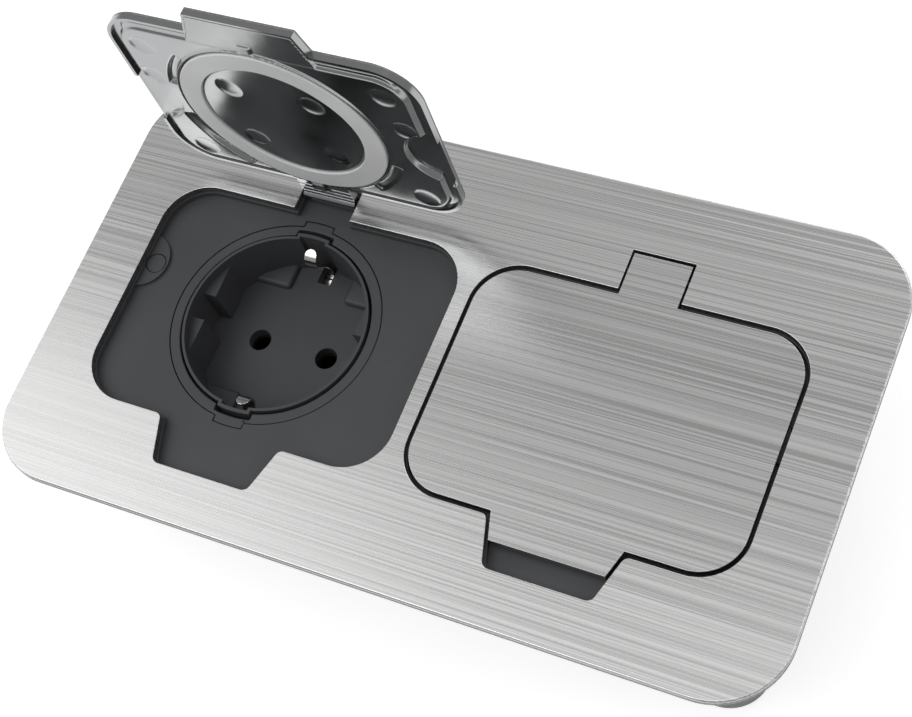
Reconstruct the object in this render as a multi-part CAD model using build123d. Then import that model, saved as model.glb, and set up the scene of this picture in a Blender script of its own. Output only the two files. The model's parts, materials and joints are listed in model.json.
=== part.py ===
from build123d import *
import os
from math import cos, radians, sin, sqrt

# Double weatherproof socket: a brushed steel cover plate with two hinged lids over two
# round earthed socket wells, on a sealed rear housing.
# X runs along the plate, Y from the finger notches to the hinges, Z up out of the wall.
# The origin is at the centre of the rear housing's back face. All sizes are millimetres.

# socket wells: the plug's own sizes come first, and the rest is laid out round them
PLUG_PIN_RADIUS = 2.4
PIN_SPACING = 19.0
WELL_RADIUS = 23.2
WELL_DEPTH = 15.2
WELL_FLOOR = 3.0
CUP_WALL = 1.8
COLLAR_STAND = 0.5
COLLAR_WALL = 0.7
KEY_BLOCK_REACH = 3.6
KEY_BLOCK_DROP = 3.0
KEYWAY_WIDTH = 6.8
PAD_CHANNEL = 15.4
PAD_REACH = 8.0
PAD_HEIGHT = 1.7
PIN_HOLE_CLEARANCE = 0.5
MARK_SIZE = 2.4
MARK_DEPTH = 0.4
MARK_X = 14.6
MARK_Y = 7.4

# collar ring between the carrier and the well
RING_GAP = 0.6
RING_WIDTH = 2.6
RING_FIT = 0.2
RING_TAB_WIDTH = 7.8
RING_TAB_REACH = 1.5
RING_LEDGE = 2.5
RING_FLANGE_THICK = 1.4
RING_SEAL_THICK = 0.6
BULGE_WIDTH = 7.2
BULGE_REACH = 1.6
BULGE_WALL = 0.8

# insert flange and the skirt of the carrier round it
SKIRT_FIT = 0.3
SKIRT_WALL = 2.5
SKIRT_DROP = 1.8
FLANGE_THICK = 2.0
EAR_RADIUS = 3.6
EAR_OVERHANG = 1.0
EAR_ANGLES = (45.0, 225.0)

# openings in the cover plate, one for each lid, laid out round the collar rings
SOCKET_X = -0.9
OPENING_SIDE_MARGIN = 14.1
OPENING_BACK_MARGIN = 1.05
OPENING_FRONT_MARGIN = 3.0
OPENING_CORNER = 11.8
OPENING_BRIDGE = 3.9
SLOT_WIDTH = 15.5
SLOT_DEPTH = 10.65
NOTCH_DEPTH = 11.9
NOTCH_WIDTH_FRONT = 25.8
NOTCH_SLOPE = 0.3
NOTCH_FRONT_RADIUS = 2.0
NOTCH_MOUTH_RADIUS = 1.8

# cover plate
PLATE_END_BORDER = 15.85
PLATE_FRONT_BORDER = 13.2
PLATE_BACK_BORDER = 17.2
PLATE_CORNER = 17.5
PLATE_THICK = 2.0
PLATE_CHAMFER = 0.4

# lids
LID_SIDE_GAP = 1.03
LID_BACK_GAP = 1.34
LID_FRONT_GAP = 1.13
LID_TAB_GAP = 0.55
LID_TAB_END_GAP = 0.8
FINGER_GAP = 6.3
FINGER_TAB_WIDTH = 27.8
SKIN_THICK = 0.5
WEB_THICK = 0.6
RIM_WIDTH = 0.9
RIM_DEPTH = 2.05
PLATEAU_DEPTH = 2.4
PLATEAU_SET_IN = 3.1
TAB_DEPTH = 2.3
TAB_RIDGES = 3
TAB_RIDGE_PITCH = 1.6
TAB_RIDGE_DEPTH = 0.25
SCALLOP_RADIUS = 9.2
SCALLOP_Y = 3.5
DIMPLE_RADIUS = 3.2
DIMPLE_DEPTH = 0.35
DISC_MARK_X = 10.8
DISC_MARK_Y = 10.3
END_MARK_INSET = 9.2
END_MARK_FRONT = 10.8
END_MARK_MIDDLE = 22.2
END_MARK_BACK = 6.4
LID_OPEN_ANGLE = 90.0

# lid gasket, over the well's collar, in a seat round a polished disc
GASKET_OUT = 3.0
GASKET_IN = 2.6
GASKET_GAP = 0.1
SEAT_DEPTH = 1.6
DISC_DEPTH = 1.9
LIP_WIDTH = 0.8
LIP_STAND = 0.2
MOAT_WIDTH = 2.4
RETAINER_WIDTH = 3.4

# hinge
HINGE_SET_BACK = 4.9
HINGE_DEPTH = 1.4
HINGE_PIN_RADIUS = 0.8
HINGE_PIN_REACH = 5.25
HINGE_CLEARANCE = 0.06
KNUCKLE_RADIUS = 1.9
STOP_GAP = 0.1

# socket carrier, the dark moulding under the plate
CARRIER_END_INSET = 8.7
CARRIER_SIDE_INSET = 9.1
CARRIER_CORNER = 11.0
TRAY_DEPTH = 3.6
TRAY_LIP = 0.4
CARRIER_FLOOR = 2.0
POCKET_CLEARANCE = 0.6
POCKET_WALL = 1.6
POCKET_SIDE_GAP = 1.0

# earth strap
STRAP_WIDTH = 3.4
STRAP_THICK = 0.8
STRAP_GAP = 0.1
CLIP_REACH = 4.4
CLIP_SET_BACK = 0.6
CLIP_TIP_SET_BACK = 1.3
CLIP_TIP_DROP = 2.2
CLIP_NOSE_DROP = 5.4
CLIP_FOOT_DROP = 9.4

# contact base and contacts
BASE_OVERHANG = 0.3
BASE_THICK = 12.0
SLEEVE_FIT = 0.02
SLEEVE_WALL = 0.9
SLEEVE_GAP = 0.2
SLEEVE_LIFT = 2.1
SLEEVE_SLIT = 0.6
BRIDGE_THICK = 1.0
TERMINAL_X = 14.5
TERMINAL_Y = 8.0
TERMINAL_LENGTH = 8.0
TERMINAL_WIDTH = 7.0
TERMINAL_COVER = 3.9
TERMINAL_GAP = 0.4
POST_SIZE = 6.0
LINK_WIDTH = 6.0
LINK_THICK = 1.0

# screws
SCREW_RADIUS = 1.5
SCREW_FIT = 0.05
SCREW_CLEARANCE = 0.2
SCREW_HEAD_RADIUS = 2.7
SCREW_HEAD_HEIGHT = 2.0
RECESS_RADIUS = 1.2
RECESS_DEPTH = 1.1
BASE_SCREW_PLACE = 14.5

# plate studs and nuts
STUD_LENGTH = 7.0
STUD_END_INSET = 17.2
STUD_SIDE_INSET = 21.1
STUD_MIDDLE_INSET = 19.1
NUT_FLATS = 5.5
NUT_HEIGHT = 2.4

# fixing screws under caps at the outer ends
CAP_EDGE_GAP = 0.2
CAP_Y = 6.2
CAP_RADIUS = 2.6
CAP_GAP = 0.15
CAP_THICK = 1.5
CAP_PAD_RADIUS = 7.6
CAP_PAD_OUT = 1.6
CAP_PAD_Y = 6.4
CAP_PAD_STAND = 0.8
FIXING_HEAD_RADIUS = 2.5
FIXING_LENGTH = 16.0
PILLAR_RADIUS = 4.2
PILLAR_BORE_SPARE = 2.0

# rear housing
HOUSING_END_INSET = 1.5
HOUSING_SIDE_INSET = 2.0
HOUSING_CORNER = 10.0
HOUSING_WALL = 2.5
HOUSING_FLOOR = 2.5
HOUSING_CHAMFER = 0.8
HOUSING_SEAL_THICK = 0.8
WIRING_HEIGHT = 8.8
BASE_HOLE_RADIUS = 2.25
BASE_HOLE_END_INSET = 25.0
BASE_HOLE_SIDE_INSET = 18.0
BASE_BOSS_RADIUS = 5.0
BASE_BOSS_HEIGHT = 3.0
KNOCKOUT_RADIUS = 8.5
KNOCKOUT_GROOVE = 0.8
KNOCKOUT_DEPTH = 0.7
HOUSING_RIBS = 3
HOUSING_RIB_PITCH = 40.0
HOUSING_RIB_THICK = 2.0
HOUSING_RIB_HEIGHT = 3.5

# plate seal
SEAL_SET_BACK = 1.1
SEAL_THICK = 1.2
SEAL_CLEAR = 1.0

# cable gland in the back wall
GLAND_END_INSET = 40.0
GLAND_Z = 19.0
GLAND_THREAD = 8.0
GLAND_BORE = 5.6
GLAND_FLATS = 20.0
GLAND_COLLAR = 3.6
GLAND_NUT_FLATS = 22.0
GLAND_NUT_THICK = 3.0
GLAND_CAP_FLATS = 19.0
GLAND_CAP_LENGTH = 7.0
GLAND_CAP_LIP = 1.4
GLAND_CAP_THREAD = 6.8
CABLE_RADIUS = 4.0
CABLE_MOUTH_CLEARANCE = 0.8
GLAND_SEAL_LENGTH = 6.0

# worked out: the well and what lies round it
SLEEVE_BORE = PLUG_PIN_RADIUS + SLEEVE_FIT
PIN_HOLE_RADIUS = PLUG_PIN_RADIUS + PIN_HOLE_CLEARANCE
RING_INNER = WELL_RADIUS + COLLAR_WALL + RING_GAP
RING_OUTER = RING_INNER + RING_WIDTH
RING_FLANGE = RING_OUTER + RING_LEDGE
FLANGE_RADIUS = RING_FLANGE + SKIRT_FIT + SKIRT_WALL
EAR_CIRCLE = FLANGE_RADIUS + EAR_OVERHANG
BASE_RADIUS = WELL_RADIUS + BASE_OVERHANG
GASKET_OUTER = WELL_RADIUS + GASKET_OUT
GASKET_INNER = WELL_RADIUS - GASKET_IN

# worked out: the plan, from the front edge of the plate to its back edge
OPENING_LENGTH = 2 * (RING_OUTER + OPENING_SIDE_MARGIN)
OPENING_PITCH = OPENING_LENGTH + OPENING_BRIDGE
PLATE_LENGTH = OPENING_PITCH + OPENING_LENGTH + 2 * PLATE_END_BORDER
RING_SPAN = 2 * (RING_OUTER + RING_TAB_REACH)
OPENING_WIDTH = OPENING_FRONT_MARGIN + RING_SPAN + OPENING_BACK_MARGIN
PLATE_WIDTH = PLATE_FRONT_BORDER + NOTCH_DEPTH + OPENING_WIDTH + SLOT_DEPTH + PLATE_BACK_BORDER
NOTCH_FRONT = PLATE_FRONT_BORDER - PLATE_WIDTH / 2
OPENING_FRONT = NOTCH_FRONT + NOTCH_DEPTH
OPENING_BACK = OPENING_FRONT + OPENING_WIDTH
SOCKET_Y = OPENING_FRONT + OPENING_FRONT_MARGIN + RING_SPAN / 2
SLOT_END = OPENING_BACK + SLOT_DEPTH
HINGE_Y = SLOT_END - HINGE_SET_BACK
LID_LENGTH = OPENING_LENGTH - 2 * LID_SIDE_GAP
LID_BACK = OPENING_BACK - LID_BACK_GAP
LID_FRONT = OPENING_FRONT + LID_FRONT_GAP
FINGER_FRONT = NOTCH_FRONT + FINGER_GAP
TAB_BACK = SLOT_END - LID_TAB_END_GAP
TAB_WIDTH = SLOT_WIDTH - 2 * LID_TAB_GAP
STOP_WALL = HINGE_Y + HINGE_DEPTH - TAB_DEPTH - STOP_GAP
CARRIER_LENGTH = PLATE_LENGTH - 2 * CARRIER_END_INSET
CARRIER_WIDTH = PLATE_WIDTH - 2 * CARRIER_SIDE_INSET
HOUSING_LENGTH = CARRIER_LENGTH - 2 * HOUSING_END_INSET
HOUSING_WIDTH = CARRIER_WIDTH - 2 * HOUSING_SIDE_INSET
HINGE_PIN_LENGTH = SLOT_WIDTH + 2 * HINGE_PIN_REACH
GROOVE_LENGTH = HINGE_PIN_LENGTH + 2 * SLEEVE_GAP
GLAND_X = GLAND_END_INSET - HOUSING_LENGTH / 2

# worked out: the heights, from the housing's back face to the plate's top face
LINK_TOP = HOUSING_FLOOR + WIRING_HEIGHT + SCREW_HEAD_HEIGHT + LINK_THICK
BASE_BOTTOM = LINK_TOP + TERMINAL_GAP
CUP_BOTTOM = BASE_BOTTOM + BASE_THICK
WELL_BED = CUP_BOTTOM + WELL_FLOOR
WELL_RIM = WELL_BED + WELL_DEPTH
TRAY = WELL_RIM - COLLAR_STAND
PLATE_TOP = TRAY + TRAY_DEPTH
UNDER_PLATE = PLATE_TOP - PLATE_THICK
CARRIER_BOTTOM = TRAY - CARRIER_FLOOR
HOUSING_TOP = CARRIER_BOTTOM - HOUSING_SEAL_THICK
RING_FLANGE_TOP = CARRIER_BOTTOM - RING_SEAL_THICK
RING_BOTTOM = RING_FLANGE_TOP - RING_FLANGE_THICK
SKIRT_BOTTOM = RING_BOTTOM - SKIRT_DROP
FLANGE_BOTTOM = SKIRT_BOTTOM - FLANGE_THICK
SLEEVE_BOTTOM = BASE_BOTTOM + SLEEVE_LIFT
SLEEVE_LENGTH = CUP_BOTTOM - SLEEVE_GAP - SLEEVE_BOTTOM
TERMINAL_HEIGHT = CUP_BOTTOM - TERMINAL_COVER - LINK_TOP
HINGE_Z = PLATE_TOP - HINGE_DEPTH
GASKET_DEPTH = TRAY_DEPTH - COLLAR_STAND - GASKET_GAP
WEB_DEPTH = SKIN_THICK + WEB_THICK
FIXING_SEAT = TRAY + CAP_PAD_STAND - CAP_THICK - CAP_GAP - SCREW_HEAD_HEIGHT
SIDES = {"left": -1, "right": 1}


def depth(below):
    """Height of a level that lies this far below the plate's top face."""
    return PLATE_TOP - below


def block(x0, x1, y0, y1, z0, z1):
    """Box between two corners."""
    return Pos((x0 + x1) / 2, (y0 + y1) / 2, (z0 + z1) / 2) * Box(x1 - x0, y1 - y0, z1 - z0)


def disc(radius, z0, z1, x=0.0, y=0.0):
    """Upright cylinder between two heights."""
    return Pos(x, y, (z0 + z1) / 2) * Cylinder(radius, z1 - z0)


def ring(outer, inner, z0, z1, x=0.0, y=0.0):
    return disc(outer, z0, z1, x, y) - disc(inner, z0 - 1, z1 + 1, x, y)


def slab(outline, z0, z1):
    """Flat outline extruded between two heights."""
    return Pos(0, 0, z0) * extrude(outline, z1 - z0)


def rod_x(radius, length, y, z):
    """Cylinder along X, centred on x = 0."""
    return Pos(0, y, z) * Rot(0, 90, 0) * Cylinder(radius, length)


def rod_y(radius, y0, y1, x, z):
    """Cylinder along Y between two places."""
    return Pos(x, (y0 + y1) / 2, z) * Rot(90, 0, 0) * Cylinder(radius, y1 - y0)


def hexagon_y(flats, y0, y1, x, z):
    """Hexagon bar along Y between two places."""
    bar = extrude(RegularPolygon(flats / 2, 6, major_radius=False), y1 - y0)
    return Pos(x, y1, z) * Rot(90, 0, 0) * bar


def screw_up(x, y, head_z, length):
    """Pan screw that points up, its head's underside at head_z."""
    head = disc(SCREW_HEAD_RADIUS, head_z - SCREW_HEAD_HEIGHT, head_z, x, y)
    head = chamfer(head.edges().group_by(Axis.Z)[0], SCREW_HEAD_HEIGHT / 4)
    low = head_z - SCREW_HEAD_HEIGHT
    recess = disc(RECESS_RADIUS, low - 1, low + RECESS_DEPTH, x, y)
    return head + disc(SCREW_RADIUS, head_z, head_z + length, x, y) - recess


def rounded_rectangle(x0, x1, y0, y1, radius):
    return Pos((x0 + x1) / 2, (y0 + y1) / 2) * RectangleRounded(x1 - x0, y1 - y0, radius)


def notch_half_width(y):
    """Half width of the finger notch at a place along Y: its sides slope in towards the front."""
    return NOTCH_WIDTH_FRONT / 2 + NOTCH_SLOPE * (y - NOTCH_FRONT)


def opening_outline(inset):
    """Opening with its finger notch and hinge slot, drawn in from the edge by inset."""
    half = OPENING_LENGTH / 2 - inset
    front = OPENING_FRONT + inset
    notch_front = NOTCH_FRONT + inset
    main = rounded_rectangle(-half, half, front, OPENING_BACK - inset, OPENING_CORNER - inset)
    mouth = notch_half_width(front) - inset
    nose = notch_half_width(notch_front) - inset
    corners = ((-mouth, front), (-nose, notch_front), (nose, notch_front), (mouth, front))
    notch = make_face(Polyline(*corners, close=True))
    notch = fillet(notch.vertices().group_by(Axis.Y)[0], NOTCH_FRONT_RADIUS)
    outline = main + notch
    meeting = [v for v in outline.vertices() if abs(v.Y - front) < 0.01 and abs(abs(v.X) - mouth) < 0.01]
    outline = fillet(meeting, NOTCH_MOUTH_RADIUS)
    slot_half = SLOT_WIDTH / 2 - inset
    slot = Pos(0, (SLOT_END - inset) / 2) * Rectangle(2 * slot_half, SLOT_END - inset)
    return outline + slot


def finger_tab_outline(inset, back):
    """Finger tab of a lid, from its straight front edge back to y = back."""
    nose = FINGER_TAB_WIDTH / 2 - inset
    front = FINGER_FRONT + inset
    mouth = nose + NOTCH_SLOPE * (back - front)
    return make_face(Polyline((-mouth, back), (-nose, front), (nose, front), (mouth, back), close=True))


def lid_main_outline(inset):
    """Lid without its tabs, drawn in from the edge by inset."""
    half = LID_LENGTH / 2 - inset
    corner = OPENING_CORNER - LID_SIDE_GAP - inset
    return rounded_rectangle(-half, half, LID_FRONT + inset, LID_BACK - inset, corner)


def lid_outline():
    """Lid with its finger tab at the front and its hinge tab at the back."""
    tab = Pos(0, TAB_BACK / 2) * Rectangle(TAB_WIDTH, TAB_BACK)
    return lid_main_outline(0) + finger_tab_outline(0, LID_FRONT + RIM_WIDTH) + tab


def socket_centre(side):
    """Centre of a socket well in the plate's plan."""
    return SIDES[side] * OPENING_PITCH / 2 + SOCKET_X, SOCKET_Y


def opening_centre(side):
    return SIDES[side] * OPENING_PITCH / 2


# cover plate with studs on its underside
def stud_places():
    end = PLATE_LENGTH / 2 - STUD_END_INSET
    side = PLATE_WIDTH / 2 - STUD_SIDE_INSET
    middle = PLATE_WIDTH / 2 - STUD_MIDDLE_INSET
    corners = [(sx * end, sy * side) for sx in (-1, 1) for sy in (-1, 1)]
    return corners + [(0, -middle), (0, middle)]


def cover_plate():
    plate = slab(RectangleRounded(PLATE_LENGTH, PLATE_WIDTH, PLATE_CORNER), UNDER_PLATE, PLATE_TOP)
    plate = chamfer(plate.edges().group_by(Axis.Z)[-1], PLATE_CHAMFER)
    for side in SIDES:
        x = opening_centre(side)
        plate -= Pos(x, 0) * slab(opening_outline(0), UNDER_PLATE - 1, PLATE_TOP + 1)
        width = HINGE_PIN_RADIUS + HINGE_CLEARANCE
        groove = rod_x(width, GROOVE_LENGTH, HINGE_Y, HINGE_Z)
        half = GROOVE_LENGTH / 2
        mouth = block(-half, half, HINGE_Y - width, HINGE_Y + width, UNDER_PLATE - 1, HINGE_Z)
        plate -= Pos(x, 0) * (groove + mouth)
    for x, y in stud_places():
        plate += disc(SCREW_RADIUS, UNDER_PLATE - STUD_LENGTH, UNDER_PLATE, x, y)
    return plate


def plate_seal():
    length = PLATE_LENGTH - 2 * SEAL_SET_BACK
    width = PLATE_WIDTH - 2 * SEAL_SET_BACK
    outer = RectangleRounded(length, width, PLATE_CORNER - SEAL_SET_BACK)
    inner_length = CARRIER_LENGTH + 2 * SEAL_CLEAR
    inner_width = CARRIER_WIDTH + 2 * SEAL_CLEAR
    inner = RectangleRounded(inner_length, inner_width, CARRIER_CORNER + SEAL_CLEAR)
    return slab(outer - inner, UNDER_PLATE - SEAL_THICK, UNDER_PLATE)


def plate_nuts():
    nuts = []
    hexagon = RegularPolygon(NUT_FLATS / 2, 6, major_radius=False)
    for x, y in stud_places():
        nut = slab(hexagon, CARRIER_BOTTOM - NUT_HEIGHT, CARRIER_BOTTOM)
        nuts.append(Pos(x, y) * (nut - disc(SCREW_RADIUS + SCREW_FIT, 0, PLATE_TOP)))
    return Compound(children=nuts)


# socket carrier: trays, hinge pockets, ring holes, skirts and screw bosses
def ring_outline(radius, tab_reach, tab_width):
    """Circle with a key tab at front and back."""
    reach = radius + tab_reach
    tabs = Rectangle(tab_width, 2 * reach) & Circle(reach)
    return Circle(radius) + tabs


def pocket_floor():
    """The hinge pocket is as deep as the end of the turning hinge tab needs."""
    reach = sqrt((TAB_BACK - HINGE_Y) ** 2 + HINGE_DEPTH ** 2)
    return HINGE_Z - reach - POCKET_CLEARANCE


def hinge_pocket(wall, top):
    """Space round the turning hinge tab, or the walls round that space."""
    half = SLOT_WIDTH / 2 + POCKET_SIDE_GAP + wall
    back = SLOT_END + POCKET_CLEARANCE + wall
    pocket = block(-half, half, STOP_WALL - wall, back, pocket_floor() - wall, top)
    return fillet(pocket.edges().group_by(Axis.Z)[0].filter_by(Axis.X), POCKET_CLEARANCE + wall)


def ear_places():
    return [(EAR_CIRCLE * cos(radians(a)), EAR_CIRCLE * sin(radians(a))) for a in EAR_ANGLES]


def cap_place(side):
    """Centre of a screw cap, beside the outer end of the tray."""
    out = OPENING_LENGTH / 2 - CAP_EDGE_GAP - CAP_RADIUS
    return opening_centre(side) + SIDES[side] * out, CAP_Y


def cap_pad(side):
    """Raised pad round the screw cap, cut off by the tray's end wall."""
    x = opening_centre(side)
    centre = x + SIDES[side] * (OPENING_LENGTH / 2 + CAP_PAD_OUT)
    pad = disc(CAP_PAD_RADIUS, TRAY, TRAY + CAP_PAD_STAND, centre, CAP_PAD_Y)
    half = OPENING_LENGTH / 2 - TRAY_LIP
    return pad & block(x - half, x + half, OPENING_FRONT, OPENING_BACK, TRAY - 1, UNDER_PLATE)


def socket_carrier():
    body = slab(RectangleRounded(CARRIER_LENGTH, CARRIER_WIDTH, CARRIER_CORNER), CARRIER_BOTTOM, UNDER_PLATE)
    groove = rod_x(HINGE_PIN_RADIUS + HINGE_CLEARANCE, GROOVE_LENGTH, HINGE_Y, HINGE_Z)
    for side in SIDES:
        x = opening_centre(side)
        sx, sy = socket_centre(side)
        body += disc(FLANGE_RADIUS, SKIRT_BOTTOM, CARRIER_BOTTOM, sx, sy)
        for ex, ey in ear_places():
            body += disc(EAR_RADIUS, SKIRT_BOTTOM, CARRIER_BOTTOM, sx + ex, sy + ey)
        body += Pos(x, 0) * hinge_pocket(POCKET_WALL, TRAY)
        cx, cy = cap_place(side)
        body += disc(PILLAR_RADIUS, SKIRT_BOTTOM, CARRIER_BOTTOM, cx, cy)
        body -= disc(RING_FLANGE + SKIRT_FIT, SKIRT_BOTTOM - 1, CARRIER_BOTTOM, sx, sy)
        body -= Pos(x, 0) * slab(opening_outline(TRAY_LIP), TRAY, UNDER_PLATE + 1)
        body -= Pos(x, 0) * hinge_pocket(0, UNDER_PLATE)
        hole = ring_outline(RING_OUTER + RING_FIT, RING_TAB_REACH, RING_TAB_WIDTH + 2 * RING_FIT)
        body -= Pos(sx, sy) * slab(hole, CARRIER_BOTTOM - 1, UNDER_PLATE)
        body -= Pos(x, 0) * groove
        body += cap_pad(side)
        body -= disc(CAP_RADIUS + CAP_GAP, FIXING_SEAT, UNDER_PLATE, cx, cy)
        body -= disc(SCREW_RADIUS + SCREW_CLEARANCE, SKIRT_BOTTOM - 1, UNDER_PLATE, cx, cy)
        for ex, ey in ear_places():
            body -= disc(SCREW_RADIUS + SCREW_FIT, SKIRT_BOTTOM - 1, CARRIER_BOTTOM, sx + ex, sy + ey)
    for px, py in stud_places():
        body -= disc(SCREW_RADIUS + SCREW_CLEARANCE, CARRIER_BOTTOM - 1, UNDER_PLATE + 1, px, py)
    return body


def collar_ring(side):
    x, y = socket_centre(side)
    top = slab(ring_outline(RING_OUTER, RING_TAB_REACH, RING_TAB_WIDTH), RING_FLANGE_TOP, TRAY)
    flange = disc(RING_FLANGE, RING_BOTTOM, RING_FLANGE_TOP)
    bore = ring_outline(RING_INNER, BULGE_REACH, BULGE_WIDTH + 2 * (BULGE_WALL + RING_GAP))
    return Pos(x, y) * (top + flange - slab(bore, RING_BOTTOM - 1, TRAY + 1))


def insert_seal(side):
    x, y = socket_centre(side)
    hole = ring_outline(RING_OUTER + RING_FIT, RING_TAB_REACH, RING_TAB_WIDTH + 2 * RING_FIT)
    return Pos(x, y) * slab(Circle(RING_FLANGE) - hole, RING_FLANGE_TOP, CARRIER_BOTTOM)


# socket insert: the round well
def well_cavity():
    """Space inside the well, above its bed."""
    bulge = BULGE_REACH - BULGE_WALL
    space = slab(ring_outline(WELL_RADIUS, bulge, BULGE_WIDTH), WELL_BED, WELL_RIM + 1)
    reach = WELL_RADIUS + 2
    for sign in (-1, 1):
        x0, x1 = sorted((sign * (WELL_RADIUS - KEY_BLOCK_REACH), sign * reach))
        for y0, y1 in ((-reach, -KEYWAY_WIDTH / 2), (KEYWAY_WIDTH / 2, reach)):
            space -= block(x0, x1, y0, y1, WELL_BED - 1, WELL_RIM - KEY_BLOCK_DROP)
        for pad_sign in (-1, 1):
            px0, px1 = sorted((pad_sign * PAD_CHANNEL / 2, pad_sign * reach))
            py0, py1 = sorted((sign * (WELL_RADIUS - PAD_REACH), sign * reach))
            space -= block(px0, px1, py0, py1, WELL_BED - 1, WELL_BED + PAD_HEIGHT)
    return space


def earth_slots():
    """Slots in the bed that the earth clips stand in."""
    half = STRAP_WIDTH / 2 + STRAP_GAP
    reach = WELL_RADIUS + BULGE_REACH - BULGE_WALL
    inner = WELL_RADIUS - CLIP_REACH + STRAP_THICK / 2
    through = block(-half, half, -reach, reach, CUP_BOTTOM - 1, WELL_BED + 1)
    return through - block(-half, half, -inner, inner, CUP_BOTTOM - 1, WELL_BED + 1)


def direction_mark():
    """Small triangular mark sunk in the bed."""
    x0 = MARK_X - MARK_SIZE / 2
    x1 = MARK_X + MARK_SIZE / 2
    y0 = MARK_Y - MARK_SIZE / 2
    y1 = MARK_Y + MARK_SIZE / 4
    triangle = make_face(Polyline((x0, y1), (x1, y1), (x1, y0), close=True))
    return slab(triangle, WELL_BED - MARK_DEPTH, WELL_BED + 1)


def pin_places():
    return [(-PIN_SPACING / 2, 0), (PIN_SPACING / 2, 0)]


def base_screw_places():
    return [(-BASE_SCREW_PLACE, BASE_SCREW_PLACE), (BASE_SCREW_PLACE, -BASE_SCREW_PLACE)]


def socket_insert(side):
    x, y = socket_centre(side)
    collar = ring_outline(WELL_RADIUS + COLLAR_WALL, BULGE_REACH - RING_GAP, BULGE_WIDTH + 2 * BULGE_WALL)
    cup = slab(collar, RING_BOTTOM, WELL_RIM) + disc(WELL_RADIUS + CUP_WALL, CUP_BOTTOM, RING_BOTTOM)
    cup += disc(RING_FLANGE, SKIRT_BOTTOM, RING_BOTTOM)
    cup += disc(FLANGE_RADIUS, FLANGE_BOTTOM, SKIRT_BOTTOM)
    for ex, ey in ear_places():
        cup += disc(EAR_RADIUS, FLANGE_BOTTOM, SKIRT_BOTTOM, ex, ey)
        cup -= disc(SCREW_RADIUS + SCREW_CLEARANCE, FLANGE_BOTTOM - 1, SKIRT_BOTTOM + 1, ex, ey)
    cup -= well_cavity()
    cup -= earth_slots()
    cup -= direction_mark()
    for px, py in pin_places():
        cup -= disc(PIN_HOLE_RADIUS, CUP_BOTTOM - 1, WELL_BED + 1, px, py)
    for px, py in base_screw_places():
        cup -= disc(SCREW_RADIUS + SCREW_FIT, CUP_BOTTOM - 1, WELL_BED - BRIDGE_THICK, px, py)
    return Pos(x, y) * cup


def screw_set(side, places, head_z, length):
    """Screws of one kind in one socket, all pointing up."""
    x, y = socket_centre(side)
    return Compound(children=[screw_up(x + px, y + py, head_z, length) for px, py in places])


def insert_screws(side):
    return screw_set(side, ear_places(), FLANGE_BOTTOM, CARRIER_BOTTOM - FLANGE_BOTTOM)


# earth strap: one bent strip with a sprung clip at each end and a terminal post below
def clip_path(sign):
    """Centre line of one clip, in the plane x = 0, from the strap up to its tip."""
    foot = CUP_BOTTOM - STRAP_GAP - STRAP_THICK / 2
    back = WELL_RADIUS - CLIP_SET_BACK
    places = [
        (back, foot),
        (back, WELL_RIM - CLIP_FOOT_DROP),
        (WELL_RADIUS - CLIP_REACH, WELL_RIM - CLIP_NOSE_DROP),
        (WELL_RADIUS - CLIP_TIP_SET_BACK, WELL_RIM - CLIP_TIP_DROP),
    ]
    return [(sign * y, z) for y, z in places]


def earth_strap(side):
    x, y = socket_centre(side)
    path = list(reversed(clip_path(-1))) + clip_path(1)
    with BuildPart() as strap:
        with BuildSketch(Plane.YZ) as section:
            with BuildLine() as line:
                FilletPolyline(*path, radius=STRAP_THICK)
                offset(amount=STRAP_THICK / 2, side=Side.BOTH)
            make_face()
        extrude(amount=STRAP_WIDTH / 2, both=True)
    half = POST_SIZE / 2
    post = block(-half, half, -half, half, LINK_TOP, CUP_BOTTOM - STRAP_GAP - STRAP_THICK)
    post -= disc(SCREW_RADIUS + SCREW_FIT, LINK_TOP - 1, LINK_TOP + TERMINAL_HEIGHT)
    return Pos(x, y) * (strap.part + post)


# contact base: holds the contacts and the strap under the well
def terminal_outline(gap):
    return Rectangle(TERMINAL_LENGTH + 2 * gap, TERMINAL_WIDTH + 2 * gap)


def bridge_outline(sign, gap):
    """Strip that joins a sleeve to its terminal block."""
    width = 2 * (SLEEVE_BORE + SLEEVE_WALL) + 2 * gap
    x0, x1 = sorted((sign * PIN_SPACING / 2, sign * TERMINAL_X))
    along = Pos((x0 + x1) / 2, 0) * Rectangle(x1 - x0 + width, width)
    across = Pos(sign * TERMINAL_X, sign * TERMINAL_Y / 2) * Rectangle(width, TERMINAL_Y)
    return along + across


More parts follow.
